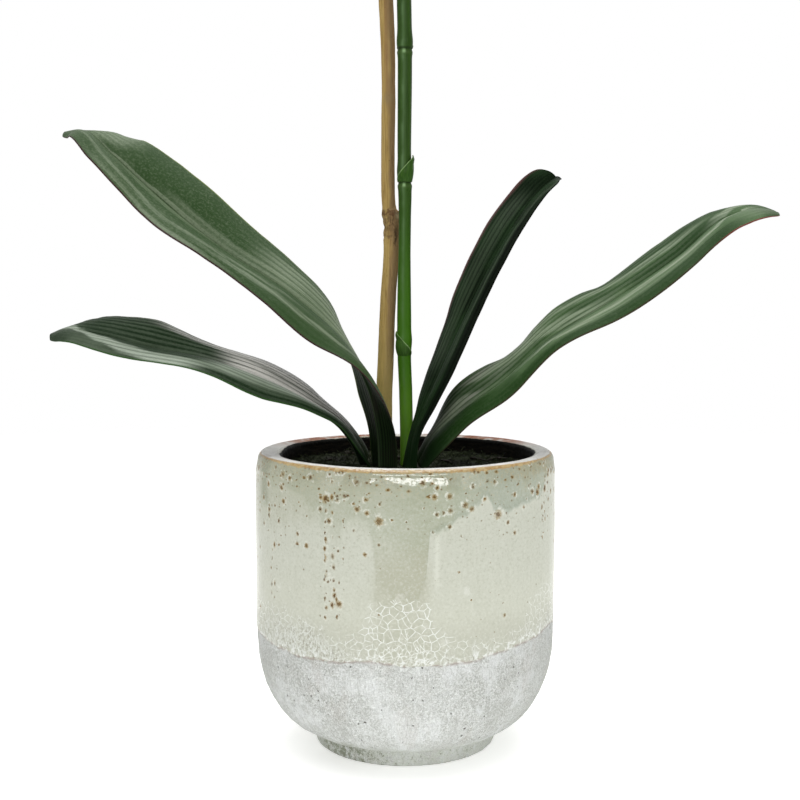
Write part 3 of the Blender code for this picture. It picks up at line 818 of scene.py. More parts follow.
def barkLook(place):
    grain = place.times((0.5, 1.6, 2.2)).noise(0.9, 4, 0.65)
    flake = place.noise(0.35, 3)
    colour = laid(grain.rise(0.38, 0.68).mix(mix["barkDark"], mix["bark"]),
                  (flake, 0.55, 0.75, 0.5, (0.04, 0.034, 0.02)))
    return colour, 0.7 + 0.25 * grain, grain * 0.5 + flake * 0.3


mossFinish = finish("darkMoss", mossLook, {"Specular IOR Level": 0.15})
barkFinish = finish("barkChips", barkLook, {"Specular IOR Level": 0.2})
makeMix()
addPiece("moss_strands", merged(strands()), mossFinish, None)
addPiece("bark_chips", merged(chips()), barkFinish, None)
say("planting mix")

# leaves
# shares and bands are in per cent of the length and of the half width
# each station: share of the length, midrib point (mm), how far the far and near halves rise (degrees)
leafShapes = {
    "leaf_upper_left": dict(lean=-1, half=27.2, base=0.4, stations=[
        (0, -12, -8, 140.4, -25, 45), (8, -13, -7, 160, -23, 30), (17, -18, -4, 182, -25, 4),
        (27, -31, 3, 203, -10, -24), (40, -59, 12, 227, 23, -22), (56, -94, 23, 249, 42, -14),
        (72, -127, 31, 275, 51, -21), (86, -155, 37, 300, 48, -16), (95, -171, 41, 313.6, 20, -20),
        (100, -182, 43, 313, 25, -24)]),
    "leaf_lower_left": dict(lean=-1, half=22.6, base=0.42, stations=[
        (0, -22, 3, 141.4, 26, 24), (7, -25, 0, 150, 13, 8), (16, -33, -4, 162, 6, 2),
        (26, -47, -10, 172, 18, 0), (40, -69, -15, 185, 18, -17), (56, -97, -20, 195, 17, -11),
        (72, -125, -24, 201, 32, -11), (86, -150, -28, 208, 23, -16), (95, -165, -28, 210.4, 9, -24),
        (100, -172.6, -28, 207.6, 16, -34)]),
    "leaf_lower_right": dict(lean=1, half=22.3, base=0.42, stations=[
        (0, 7, -5, 142.4, 13, -20), (8, 14, -7, 155, 15, -31), (16, 28, -8, 168, 44, -20),
        (26, 47, -10, 182, 30, -18), (40, 72, -9, 204, 28, -8), (56, 104, -7, 224, 25, -19),
        (72, 136, -2, 245, 24, -13), (86, 161, 3, 265, 18, -15), (95, 179, 6, 270, 21, -17),
        (100, 189, 7, 268, 19, -15)]),
    "leaf_upper_right": dict(lean=1, half=20.6, base=0.45, stations=[
        (0, 3, -16, 139.8, 30, -14), (8, 5, -15, 156, 12, -8), (16, 10, -10, 170, 10, -14),
        (26, 18, 2, 187, 18, -14), (40, 29, 22, 209, 23, -12), (56, 43, 38, 236, 29, -10),
        (72, 58, 55, 261, 30, -9), (86, 72, 72, 280, 38, -10), (95, 81, 82, 290, 52, -20),
        (100, 86, 88, 294, 60, -40)]),
}
leafBuild = {"rows": 170, "cells": 96, "arch": 0.1, "thick": 2, "margin": 0.45, "groove": 0.35, "keel": 0.7,
             "ribs": 7, "ribHeight": 0.13, "end": 0.992, "crowding": 1.12, "wave": 0.35,
             "widest": 0.58, "closes": 0.74}        # shares of the length
# how far each margin spreads and how high the far half stands (100 as planned), and its lift (degrees)
leafWaves = {
    "leaf_upper_left": dict(
        near=[(0, 100), (24, 103), (32, 107), (40, 100), (46, 92.5), (52, 93), (56, 104), (61, 112),
              (66, 109), (70, 101), (76, 94), (80, 98), (86, 101), (100, 98)],
        far=[(0, 100), (44, 100), (60, 100), (68, 102), (76, 94), (80, 86), (84, 85), (87, 88), (90, 90),
             (92, 85), (93.5, 40), (95.5, -60), (100, -100)],
        farLift=[(0, 0), (20, 0), (26, 0), (30, 2), (34.5, 5), (39, 3), (43, 0), (48, 0), (60, 0), (100, 0)],
        farSpread=[(0, 100), (18, 100), (25, 100), (30, 104), (35, 109), (39, 105), (44, 100), (50, 100),
                   (70, 100), (100, 100)]),
    "leaf_lower_left": dict(
        near=[(0, 100), (16, 100), (24, 93), (28, 92), (34, 100), (42, 105), (50, 102), (56, 95.5), (64, 91),
              (70, 93), (76, 100), (80, 102), (84, 97.5), (88, 85), (93, 92), (100, 95)],
        far=[(0, 100), (50, 103), (60, 105), (66, 110), (72, 115), (76, 105), (80, 96), (84, 98), (88, 105),
             (91, 95), (93, 20), (95, -80), (100, -100)]),
    "leaf_lower_right": dict(
        near=[(0, 100), (28, 101), (32, 98.5), (37, 103), (42, 107), (50, 101), (56, 98.5), (62, 102),
              (68, 105), (76, 98), (84, 105), (92, 107), (100, 110)],
        far=[(0, 60), (8, 60), (12, 80), (16, 95), (20, 112), (26, 128), (32, 80), (36, 68), (40, 85),
             (46, 115), (52, 112), (57, 88), (62, 92), (68, 105), (74, 115), (80, 110), (86, 85), (92, 50),
             (100, 40)]),
    "leaf_upper_right": dict(
        near=[(0, 100), (12, 95), (20, 104), (24, 105), (30, 101), (44, 101), (52, 98), (60, 101), (68, 96),
              (80, 96), (84, 101), (88, 104), (92, 85), (96, 65), (100, 60)],
        far=[(0, 90), (20, 105), (26, 100), (38, 90), (44, 98), (48, 108), (56, 114), (64, 126), (72, 133),
             (80, 124), (86, 112), (92, 112), (100, 120)],
        farSpread=[(0, 100), (50, 100), (80, 100), (86, 100), (92, 102), (96, 110), (100, 135)]),
}
# long light and dark bands down each leaf: sheen-tone bands and dusk bands are painted sheen (on the upper
# right leaf dusk is the reddish margin), deep bands painted shade; each: tone, line of its middle (-100 near
# to 100 far), half width, from, to, strength
leafBands = {
    "leaf_upper_left": [
        ("deep", [(20, 62), (45, 55), (62, 50), (80, 55), (100, 60)], 62, 44, 85, 90),
        ("bloom", [(20, 10), (26, 30), (36, 46), (48, 42), (100, 40)], 42, 19, 50, 78),
        ("bloom", [(20, 2), (40, 12), (60, 10), (74, 12), (100, 10)], 20, 20, 72, 55),
        ("deep", [(30, 86), (46, 80), (100, 80)], 14, 30, 50, 60),
        ("bloom", [(82, 95), (87, 62), (93, 40), (100, 30)], 50, 86, 94, 95),
        ("fresh", [(50, -24), (70, -26), (90, -30), (100, -30)], 30, 50, 95, 80),
        ("bloom", [(55, -20), (66, -24), (78, -26), (100, -20)], 15, 57, 84, 42),
        ("deep", [(10, -60), (30, -70), (50, -80), (100, -90)], 50, 12, 62, 55),
        ("bloom", [(18, -36), (28, -50), (37, -60), (47, -68), (57, -78), (100, -80)], 10, 20, 58, 70),
        ("bloom", [(36, -30), (44, -46), (60, -64), (68, -72), (81, -64), (95, -46),
            (100, -40)], 8, 38, 95, 48),
        ("deep", [(20, -12), (34, -16), (50, -24), (62, -42), (76, -48), (90, -30),
            (100, -20)], 15, 28, 84, 80),
        ("deep", [(15, -86), (30, -90), (46, -91), (60, -94), (100, -100)], 22, 12, 62, 95),
        ("bloom", [(48, -92), (62, -93), (80, -90), (100, -80)], 7, 50, 86, 55),
        ("bloom", [(60, 6), (75, 6), (90, 5), (100, 0)], 5, 60, 93, 80)],
    "leaf_lower_left": [
        ("dusk", [(10, 25), (30, 40), (50, 42), (100, 30)], 75, 12, 56, 97),
        ("deep", [(16, 18), (34, 28), (50, 46), (100, 40)], 10, 15, 56, 40),
        ("deep", [(40, 20), (50, 30), (60, 50), (75, 50), (93, 50), (100, 50)], 62, 50, 93, 97),
        ("dusk", [(46, 55), (56, 66), (70, 84), (100, 90)], 20, 46, 70, 55),
        ("bloom", [(10, -28), (25, -32), (40, -38), (55, -50), (100, -60)], 36, 17, 57, 80),
        ("dusk", [(10, -6), (30, -8), (48, -10), (100, -10)], 16, 14, 50, 70),
        ("deep", [(48, -6), (56, -22), (66, -40), (74, -38), (82, -20), (89, -2), (100, 10)], 46, 53, 90, 97),
        ("bloom", [(50, -80), (60, -80), (70, -80), (78, -68), (84, -50), (90, -16), (94, 15),
            (100, 40)], 26, 57, 97, 100),
        ("deep", [(8, -80), (20, -86), (34, -92), (50, -92), (62, -100), (100, -110)], 19, 10, 60, 98)],
    "leaf_lower_right": [
        ("dusk", [(5, 30), (14, 40), (26, 52), (100, 60)], 50, 5, 30, 72),
        ("bloom", [(5, 5), (14, 20), (22, 50), (32, 62), (100, 60)], 22, 6, 34, 60),
        ("deep", [(8, 55), (16, 62), (24, 34), (32, 28), (100, 20)], 26, 7, 30, 85),
        ("bloom", [(30, 62), (40, 60), (100, 60)], 48, 31, 42, 90),
        ("bloom", [(36, 45), (44, 22), (52, 10), (100, 10)], 20, 35, 56, 80),
        ("bloom", [(40, 75), (52, 62), (66, 48), (80, 40), (100, 30)], 14, 40, 82, 65),
        ("deep", [(42, 46), (54, 30), (66, 18), (80, 12), (100, 10)], 16, 44, 84, 55),
        ("deep", [(50, 88), (64, 76), (78, 66), (100, 60)], 24, 50, 85, 85),
        ("bloom", [(80, 0), (86, 20), (91, 45), (95, 60), (100, 60)], 17, 80, 95, 90),
        ("bloom", [(26, -10), (36, -12), (100, -10)], 15, 25, 37, 80),
        ("fresh", [(26, -50), (60, -60), (100, -60)], 50, 30, 86, 90),
        ("bloom", [(30, -50), (50, -60), (100, -60)], 42, 40, 80, 35),
        ("deep", [(34, -22), (42, -28), (50, -20), (100, -20)], 22, 36, 50, 60),
        ("deep", [(60, 5), (72, 2), (82, 4), (100, 10)], 34, 62, 85, 95),
        ("bloom", [(80, -50), (100, -50)], 50, 87, 100, 32),
        ("bloom", [(30, -34), (37, -48), (44, -62), (53, -50), (62, -42), (71, -48), (80, -48), (87, -20),
            (93, 12), (100, 30)], 9, 33, 95, 95),
        ("deep", [(0, -55), (14, -55), (26, -66), (100, -70)], 60, 0, 27, 97),
        ("deep", [(20, -82), (40, -92), (60, -84), (80, -84), (100, -90)], 24, 22, 86, 90)],
    "leaf_upper_right": [
        ("bloom", [(30, 30), (45, 40), (60, 44), (100, 40)], 32, 28, 86, 66),
        ("fresh", [(10, -25), (40, -28), (60, -30), (100, -30)], 24, 16, 60, 80),
        ("deep", [(0, -88), (40, -90), (70, -92), (100, -100)], 28, 0, 74, 100),
        ("bloom", [(20, -52), (34, -58), (50, -62), (62, -68), (74, -72), (88, -96),
            (100, -100)], 9, 24, 90, 78),
        ("dusk", [(5, 95), (40, 95), (100, 95)], 16, 5, 97, 80)],
}
# leaf colours: the sheen tone is painted sheen, and so is dusk except on the upper right leaf, where it is
# the reddish margin; under, for the underside, is its own dark green darkened further by painted shade
leafColours = {
    "leaf_upper_left": dict(
        deep=(0.028, 0.062, 0.018), fresh=(0.06, 0.098, 0.044), bloom=(0.19, 0.24, 0.15),
        under=(0.006, 0.011, 0.005), ribEnd=0.56, pebbleFrom=0.4, nearRibs=0.3, nearEdge=(0.045, 0.014, 0.02),
        farEdge=(0.22, 0.26, 0.085)),
    "leaf_lower_left": dict(
        deep=(0.005, 0.018, 0.004), fresh=(0.058, 0.082, 0.05), bloom=(0.21, 0.265, 0.185),
        dusk=(0.66, 0.632, 0.592), sheen=1, under=(0.006, 0.011, 0.006), ribEnd=0.92, pebbleFrom=1.2,
        nearRibs=0.5, nearEdge=(0.03, 0.08, 0.018), farEdge=(0.11, 0.11, 0.07)),
    "leaf_lower_right": dict(
        deep=(0.014, 0.044, 0.008), fresh=(0.07, 0.128, 0.05), bloom=(0.24, 0.3, 0.195),
        dusk=(0.3, 0.29, 0.26), under=(0.008, 0.02, 0.007), ribEnd=0.8, pebbleFrom=1.2, nearRibs=0.15,
        nearEdge=(0.045, 0.034, 0.018), tipEdge=(0.19, 0.04, 0.038), farEdge=(0.17, 0.2, 0.11)),
    # the upper right leaf, in shade, is coloured far darker all over: painted shade
    "leaf_upper_right": dict(
        deep=(0.002, 0.004, 0.002), fresh=(0.012, 0.03, 0.01), bloom=(0.036, 0.056, 0.03),
        dusk=(0.1, 0.04, 0.04), sheen=0.1, ior=1.04, under=(0.004, 0.006, 0.003), ribEnd=0.95, pebbleFrom=1.2,
        nearRibs=0.5, nearEdge=(0.006, 0.006, 0.004), farEdge=(0.15, 0.062, 0.06)),
}


def leafHalfWidth(share, half, base):
    widest, closes = leafBuild["widest"], leafBuild["closes"]
    body = base + (1 - base) * np.sin(np.minimum(1, share / widest) * math.pi / 2) ** 0.9
    close = np.maximum(0, (share - closes) / (1 - closes))
    return half * body * np.maximum(0.004, 1 - close**2.3) ** 0.52


def waved(name, edge, share, plain=100):
    # what leafWaves says along the leaf, and plain where it says nothing
    knots, values = np.transpose(leafWaves[name].get(edge, [(0, plain), (50, plain), (100, plain)])) / 100
    return through(knots, values, share)


def makeLeaf(name, lean, half, base, stations):
    build, colours = leafBuild, leafColours[name]
    knots, x, y, z, farRises, nearRises = np.transpose(stations)
    knots, mids = knots / 100, np.stack([x, y, z], -1)
    share = build["end"] * (1 - (1 - np.linspace(0, 1, build["rows"] + 1)) ** build["crowding"])
    t = share[:, None]
    across = np.linspace(-1, 1, build["cells"] + 1)
    spread = np.abs(across)
    mid = through(knots, mids, share)
    after, before = np.minimum(1, share + 0.01), np.maximum(0, share - 0.01)
    ahead = unit(through(knots, mids, after) - through(knots, mids, before))
    far = unit(np.array([0, 1, 0]) - ahead * ahead[:, 1:2])
    tall = lean * np.cross(ahead, far)[:, None]
    farRise = through(knots, farRises, share) * waved(name, "far", share)
    farRise = farRise + waved(name, "farLift", share, 0) * 100
    nearRise = through(knots, nearRises, share)
    rise = np.radians(np.where(across > 0, farRise[:, None], nearRise[:, None]))[..., None]
    level = np.where(across > 0, 1, -1)[:, None] * far[:, None]
    out = level * np.cos(rise) + tall * np.sin(rise)
    bow = tall * np.cos(rise) - level * np.sin(rise)
    wide = np.where(across > 0, waved(name, "farSpread", share)[:, None], waved(name, "near", share)[:, None])
    width = leafHalfWidth(share, half, base)[:, None] * wide
    vault = build["arch"] * 4 * spread * (1 - spread)
    sheet = mid[:, None] + width[..., None] * (spread[:, None] * out + vault[:, None] * bow)
    # soft waves along the margins
    wave = rippled(grid(t * 200, across * 6, 0), 0.045, 2, half) * build["wave"] * spread**3
    normal = normalsOf(sheet)
    normal *= np.sign(np.sum(normal * tall, -1, keepdims=True))
    ribFade = 1 - 0.85 * softStep(colours["ribEnd"] - 0.15, colours["ribEnd"] + 0.12, t)
    groove = (1 - np.abs(np.sin(math.pi * build["ribs"] * across))) ** 2
    ribs = -2.2 * build["ribHeight"] * groove * ribFade * (1 - spread**8) * softStep(0, 0.06, t)
    ribs = ribs * np.where(across < 0, colours["nearRibs"], 1) + 0.04 * rippled(sheet, 0.5, 2, half)
    taper = 0.45 + 0.55 * softStep(1, 0.7, t)
    thick = build["margin"] + (build["thick"] - build["margin"]) * (1 - spread**2.2) * taper
    centre = np.exp(-(across / 0.045) ** 2) * taper
    top = sheet + normal * (thick / 2 + ribs + wave - build["groove"] * centre)[..., None]
    bottom = sheet + normal * (0.4 * ribs + wave - thick / 2 - build["keel"] * centre)[..., None]
    if lean < 0:
        top, bottom, across = top[:, ::-1], bottom[:, ::-1], across[::-1]
    look = finish(name.replace("leaf_", "leafSkin_"), lambda place: leafLook(place, colours, leafBands[name]),
                  {"IOR": colours.get("ior", 1.12), "Coat Roughness": 0.38, "Coat IOR": 1.5})
    addPiece(name + "_blade", closedSheet(top, bottom, t, across), look, name)


def leafLook(place, colours, bands):
    share, half, under = place.carried()
    across = half * 2 - 1
    spread = abs(across)
    pebble = place.noise(0.75, 3, 0.6)
    patch = place.noise(0.045, 3)
    veins = vectorOf(across * 46, share * 7, 0).noise(1, 3, 0.55)
    threads = vectorOf(across * 130, share * 14, 4).noise(1)
    ribbed = share.rise(colours["ribEnd"] + 0.1, colours["ribEnd"] - 0.16)
    ribbed = ribbed * across.rise(-0.1, 0.02).blend(colours["nearRibs"], 1)
    beat = abs((across * (math.pi * leafBuild["ribs"]) + veins.swing(0.5)).math("SINE"))
    groove = beat.rise(0.42, 0.02)
    ridge = beat.rise(0.35, 1)
    colour = (patch.rise(0.35, 0.65) * 0.7).mix(colours["fresh"], colours["deep"])
    sway = veins.swing(0.16) + patch.swing(0.1)
    sheen = patch * 0        # none to begin with
    for tone, line, *spans in bands:
        width, first, last, strength = (value / 100 for value in spans)
        line = [(spot / 100, 0.5 + 0.5 * middle / 100) for spot, middle in line]
        gap = abs(across + sway - (share.along(0, 1, line, 1) * 2 - 1))
        mask = gap.rise(width, width * 0.4)
        mask = mask * share.rise(first - 0.05, first + 0.07) * share.rise(last + 0.05, last - 0.07)
        if tone in ("bloom", "dusk"):
            mask = mask * (0.6 + 0.4 * ridge)
            sheen = sheen.most(mask * strength)
        else:
            sheen = sheen * (1 - mask * strength)
        colour = (mask * strength).mix(colour, colours[tone])
    grainy = share.rise(colours["pebbleFrom"] - 0.1, colours["pebbleFrom"] + 0.2)
    midrib = spread.rise(0.026, 0.01)
    edge = spread.rise(0.962, 0.985)
    nearEdge = share.rise(0.74, 0.84).mix(colours["nearEdge"], colours.get("tipEdge", colours["nearEdge"]))
    colour = laid(
        colour,
        # painted sheen on the rib ridges and along fine threads, painted shade in the grooves
        (ridge * ribbed * 0.16, colours["bloom"]),
        (groove * ribbed * 0.62, colours["deep"]),
        (threads.rise(0.56, 0.76) * ribbed * 0.22, colours["bloom"]),
        (veins.rise(0.46, 0.32) * (0.25 + 0.3 * ribbed), colours["deep"]),
        # the pebbled tip: painted glints on its grain and specks, and painted shade between
        (pebble.rise(0.45, 0.75) * (0.06 + 0.26 * grainy), colours["bloom"]),
        (pebble.rise(0.5, 0.3) * (0.12 + 0.3 * grainy), colours["deep"]),
        (place.noise(1.3, 1).rise(0.7, 0.8) * grainy * 0.35, colours["bloom"]),
        # the midrib as a thin painted highlight
        (midrib * 0.6 * share.rise(0.06, 0.3), colours["bloom"]),
        (edge * 0.85, across.rise(-0.1, 0.1).mix(nearEdge, colours["farEdge"])),
        # darker towards the base, where the leaves come out of the crown: painted shade
        (share, 0.13, 0.03, 0.8, (0.01, 0.028, 0.009)),
    )
    # the underside: its own dark green darkened further by painted shade, lighter on the ribs and along the
    # keel: painted light
    below = laid((ridge * 0.35).mix(colours["under"], colours["deep"]),
                 (patch, 0.5, 0.7, 0.5, (0.022, 0.014, 0.015)), (midrib * 0.5, colours["fresh"]))
    bump = pebble * (0.03 + 0.09 * grainy) + veins * 0.06 + threads * 0.04 - groove * 0.12 * ribbed
    return ((under * (1 - edge)).mix(colour, below), 0.36 + 0.12 * pebble + 0.1 * under, bump,
            sheen * (1 - under) * colours.get("sheen", 0.35))


for leafName, leafShape in leafShapes.items():
    makeLeaf(leafName, **leafShape)
say("leaves")

# spike, bracts and crown; places in mm
spike = {
    "points": [(0.6, 4, 139.9), (0.5, 4, 152), (-0.1, 4, 176), (-0.9, 4, 252), (-0.7, 4, 300),
               (-0.4, 4, 350), (-1, 4, 390), (-1, 4, 440), (1, 3, 470), (13, -5, 505),
               (38, -22, 540), (70, -42, 557), (101, -60, 552), (122, -73, 537)],
    "upright": 8, "radius": 3.7, "joints": (204, 289, 353, 424), "rows": 620, "around": 36,
    # small bends and changes of girth along the upright part, by height
    "sway": [(140, 0.2), (170, 0.4), (180, 0.4), (194, 0), (236, 0.3), (262, 0.6), (276, 0.6), (300, 0.1),
             (380, 0)],
    "girth": [(140, 0.9), (190, 0.92), (215, 0.98), (232, 0.92), (248, 0.84), (266, 0.84), (280, 0.93),
              (300, 0.93), (330, 0.97), (400, 1)],
    "rings": (283.5, 349.4, 418),       # scars just below the joints
    "scar": ((-0.42, 0, 0.8), (0.25, 1.9, 1.2)),    # girth added at each: how much, how far below, how wide
    "deep": (0.021, 0.052, 0.008), "green": (0.034, 0.08, 0.012), "fresh": (0.046, 0.15, 0.006),
    "sheen": (0.105, 0.185, 0.075), "ring": (0.07, 0.12, 0.035),
}
bracts = {      # height of its foot, facing (degrees), length, how far tip and foot stand off, how far round
    "bract_lower": (196, 194, 12.8, 1.5, -0.35, 174), "bract_middle": (283.7, -12, 13.4, 1.7, 0.1, 174),
    "bract_upper": (349, 80, 7, 0.6, -0.25, 96),
}
crown = {
    "at": (-7, -5.5), "base": 139.6,
    "radii": [(0, 2.4), (2, 2.5), (4, 2.6), (6.5, 2.5), (9, 2.1), (11, 1.4), (12, 0.6)],      # by height
}


def lengthShares(points):
    walked = walkedAlong(points)
    return walked / walked[-1]


spikeShares = lengthShares(spike["points"])


def spikeAt(share):
    return through(spikeShares, spike["points"], share)


def spikeShare(height):
    count = spike["upright"]
    return float(np.interp(height, [p[2] for p in spike["points"][:count]], spikeShares[:count]))


def spikeRadius(share):
    share = np.asarray(share, float)
    slim = spike["radius"] * (1 - 0.55 * np.maximum(0, (share - 0.55) / 0.45))
    height = spikeAt(share)[..., 2]
    swell = sum(0.5 * np.exp(-((height - joint) / 4) ** 2) for joint in spike["joints"])
    return slim + np.where(share < 0.6, swell, 0)


def makeSpike():
    share = np.linspace(0, 1, spike["rows"])
    path = spikeAt(share)
    height = path[:, 2]
    low = share < 0.6
    path[:, 0] += np.where(low, drawn(spike["sway"], height), 0)
    radii = spikeRadius(share) * np.where(low, drawn(spike["girth"], height), 1)
    for ring in spike["rings"]:
        for much, below, wide in spike["scar"]:
            radii = radii + np.where(low, much * np.exp(-((height - ring + below) / wide) ** 2), 0)
    radii[-1] *= 0.4
    radii[-2] *= 0.85

    def ridged(walked, angle):
        return 1 + 0.012 * np.cos(5 * angle + walked * 0.01) + 0.01 * np.cos(3 * angle - walked * 0.02)

    skin = tube(path, radii, spike["around"], ridged)
    addPiece("green_spike", skin, spikeFinish, "flower_spike")


def spikeLook(place):
    x, y, h = place.parts()
    angle = place.carried()[1]
    lines = vectorOf(x * 0.9, y * 0.9, h * 0.02).noise(1, 3)
    blot = place.noise(0.09)
    upright = h.rise(470, 430)
    # streak: a painted highlight down the front of the upright part
    shine = angle + blot.swing(0.5)
    streak = shine.near(1.5, 0.62) * 0.55 + shine.near(1.5, 0.26) * 0.45
    streak = streak * (0.4 + 0.45 * blot.rise(0.4, 0.62)) * upright
    # rim: darker left and right edges: painted shade
    rim = (angle.near(0, 0.35) + angle.near(3.14, 0.42)).capped() * upright
    colour = laid(
        lines.rise(0.35, 0.68).mix(spike["deep"], spike["green"]),
        (h, 300, 190, 0.85, spike["fresh"]),
        # much paler green low down by the crown: painted light against the shade there
        (h, 195, 158, 0.9, (0.15, 0.35, 0.03)),
        (streak * h.rise(150, 330).blend(0.45, 0.95), spike["sheen"]),
        (rim * 0.55, (0.008, 0.02, 0.004)),
    )
    for ring in spike["rings"]:
        colour = laid(
            colour,
            (h.near(ring + 0.2, 1.3) * 0.75, (0.01, 0.022, 0.004)),
            # a lighter band on the swelling below each scar and a bright dot on its front: painted highlight
            (h.near(ring - 2, 1.8) * 0.35, spike["ring"]),
            (h.near(ring - 1.4, 1.6) * angle.near(1.6, 0.35) * 0.8, (0.3, 0.48, 0.22)),
        )
    colour = laid(colour, (h, 470, 540, 0.35, (0.06, 0.05, 0.022)),
                  (place.noise(1.4), 0.7, 0.8, 0.25, (0.05, 0.045, 0.016)))
    return colour, 0.26 + 0.12 * lines, lines * 0.06 + blot * 0.1


def makeBract(name, height, facing, tall, flare, foot, wrap):
    # sheath round the stem that rises to a point on one side
    centre = spikeAt(spikeShare(height))
    centre[0] += drawn(spike["sway"], height)
    rise = np.linspace(0, 1, 44)[:, None]
    across = np.linspace(-1, 1, 65)
    turn = math.radians(facing) + across * (math.radians(wrap) * (1 - rise) ** 0.95 + 0.02)
    stem = spike["radius"] * float(drawn(spike["girth"], height))
    tipSide = 0.5 + 0.5 * np.cos(turn - math.radians(facing))
    swell = foot + (0.65 - foot) * np.sin(math.pi * np.minimum(1, rise * 1.5)) ** 0.8
    swell = swell + flare * rise**1.6 * tipSide
    swell = swell + (0.1 - foot) * np.maximum(0, rise - 0.5) * 2
    swell = swell - 0.55 * flare * np.maximum(0, rise - 0.85) / 0.15
    ribs = 0.03 * np.cos(across * 22)

    def layer(offset):
        reach = stem + swell + offset * (1 - 0.6 * np.abs(across) ** 4) + ribs * (1 - rise)
        x, y = centre[0] + reach * np.cos(turn), centre[1] + reach * np.sin(turn)
        return grid(x, y, centre[2] + tall * rise)

    skin = closedSheet(layer(0.16), layer(-0.45), rise, across)
    addPiece(name + "_scale", skin, bractFinish, name)


def bractLook(place):
    rise, half = place.carried()[:2]
    spread = abs(half * 2 - 1)
    ribs = place.times((1.6, 1.6, 0.12)).noise(1, 3)
    spots = place.noise(0.6, 3)
    colour = laid(
        ribs.rise(0.35, 0.65).mix((0.024, 0.066, 0.009), (0.042, 0.104, 0.015)),
        (spots, 0.55, 0.75, 0.4, (0.06, 0.09, 0.03)),
        # a pale line along the margin's upper part: painted highlight
        (spread.rise(0.86, 0.97) * rise.rise(0.06, 0.5) * 0.75, (0.26, 0.4, 0.16)),
        (rise, 0.93, 1, 0.5, (0.14, 0.12, 0.06)),
    )
    return colour, 0.24 + 0.14 * spots, ribs * 0.12


def makeCrown():
    rises = np.linspace(0, crown["radii"][-1][0], 40)
    path = [(*crown["at"], crown["base"] + rise) for rise in rises]
    radii = drawn(crown["radii"], rises) * (1 + 0.05 * np.cos(rises * 3.1))
    skin = tube(path, radii, 24, lambda walked, angle: 1 + 0.06 * np.cos(2 * angle + walked * 0.3))
    addPiece("crown_stem", skin, crownFinish, "crown")


def crownLook(place):
    fibre = place.times((1.4, 1.4, 0.3)).noise(1, 4)
    scar = (place.parts()[2] * 3.1).math("COSINE").rise(-0.2, 0.9)
    colour = laid(fibre.rise(0.35, 0.65).mix((0.024, 0.045, 0.014), (0.06, 0.1, 0.034)),
                  (scar * 0.5, (0.09, 0.07, 0.035)))
    return colour, 0.45 + 0.25 * fibre, fibre * 0.4 + scar * 0.2


waxy = {"IOR": 1.16, "Specular IOR Level": 0.6}
spikeFinish = finish("glossySpike", spikeLook, waxy)
bractFinish = finish("bractScale", bractLook, waxy)
crownFinish = finish("crownStem", crownLook, waxy)
makeSpike()
for bractName, bractShape in bracts.items():
    makeBract(bractName, *bractShape)
makeCrown()
say("spike, bracts and crown")

# stake; x and girth by height in mm
stake = {
    "y": 14, "radius": 3.8, "knot": 262, "rows": 560, "around": 48,
    "x": [(139.6, -11.2), (178, -10.9), (192, -10.2), (204, -9.8), (216, -9.3), (229, -8.6), (241, -7.6),
          (252, -7.1), (262, -7.2), (270, -8.2), (278, -8.9), (303, -8.9), (328, -8.5), (352, -8.8),
          (365, -9.3), (378, -10), (440, -10.2), (500, -10.2)],
    "girth": [(139, 4.2), (190, 4.15), (222, 4.05), (245, 3.95), (262, 4), (268, 3.75), (274, 3.5),
              (300, 3.45), (330, 3.52), (360, 3.66), (400, 3.75), (500, 3.75)],
    # dusk is the painted shade of the right side
    "tan": (0.4, 0.266, 0.082), "dry": (0.485, 0.346, 0.132), "bark": (0.185, 0.12, 0.052),
    "dusk": (0.285, 0.185, 0.095), "scar": (0.045, 0.026, 0.014), "brown": (0.33, 0.19, 0.072),
}


def makeStake():
    height = np.linspace(stake["x"][0][0], stake["x"][-1][0], stake["rows"])
    x = np.convolve(np.pad(drawn(stake["x"], height), 6, mode="edge"), np.ones(13) / 13, mode="valid")
    angle = circle(stake["around"])
    tall = height[:, None]
    strips = rippled(grid(np.cos(angle) * 4, np.sin(angle) * 4, tall * 0.09), 0.55, 3, 4)
    spots = grid(np.cos(angle) * 4, np.sin(angle) * 4, tall)
    # the knot: stump of a side shoot on the right, torn bark in front, a nick on the left; angle 0 is left
    knot = stake["knot"]
    rightSide = (0.5 - 0.5 * np.cos(angle)) ** 2
    leftSide = (0.5 + 0.5 * np.cos(angle)) ** 3
    stump = softStep(knot + 9, knot + 6.6, tall) * softStep(knot - 20, knot + 3, tall) * rightSide * 0.34
    nick = np.exp(-((tall - knot) / 2.2) ** 2) * leftSide * 0.13
    torn = np.exp(-((tall - knot - 7 - 1.2 * np.sin(3 * angle)) / 1.6) ** 2) * 0.06
    near = np.exp(-((tall - knot - 1) / 9) ** 2)
    relief = (1 + 0.03 * strips + 0.022 * rippled(spots, 0.1, 3, 8) + stump - nick + torn
              + 0.11 * near * rippled(spots, 0.42, 3, 18))
    skin = tube(grid(x, stake["y"], height), drawn(stake["girth"], height), stake["around"],
                lambda walked, turn: relief)
    addPiece("cane_stake", skin, stakeFinish, "stake")


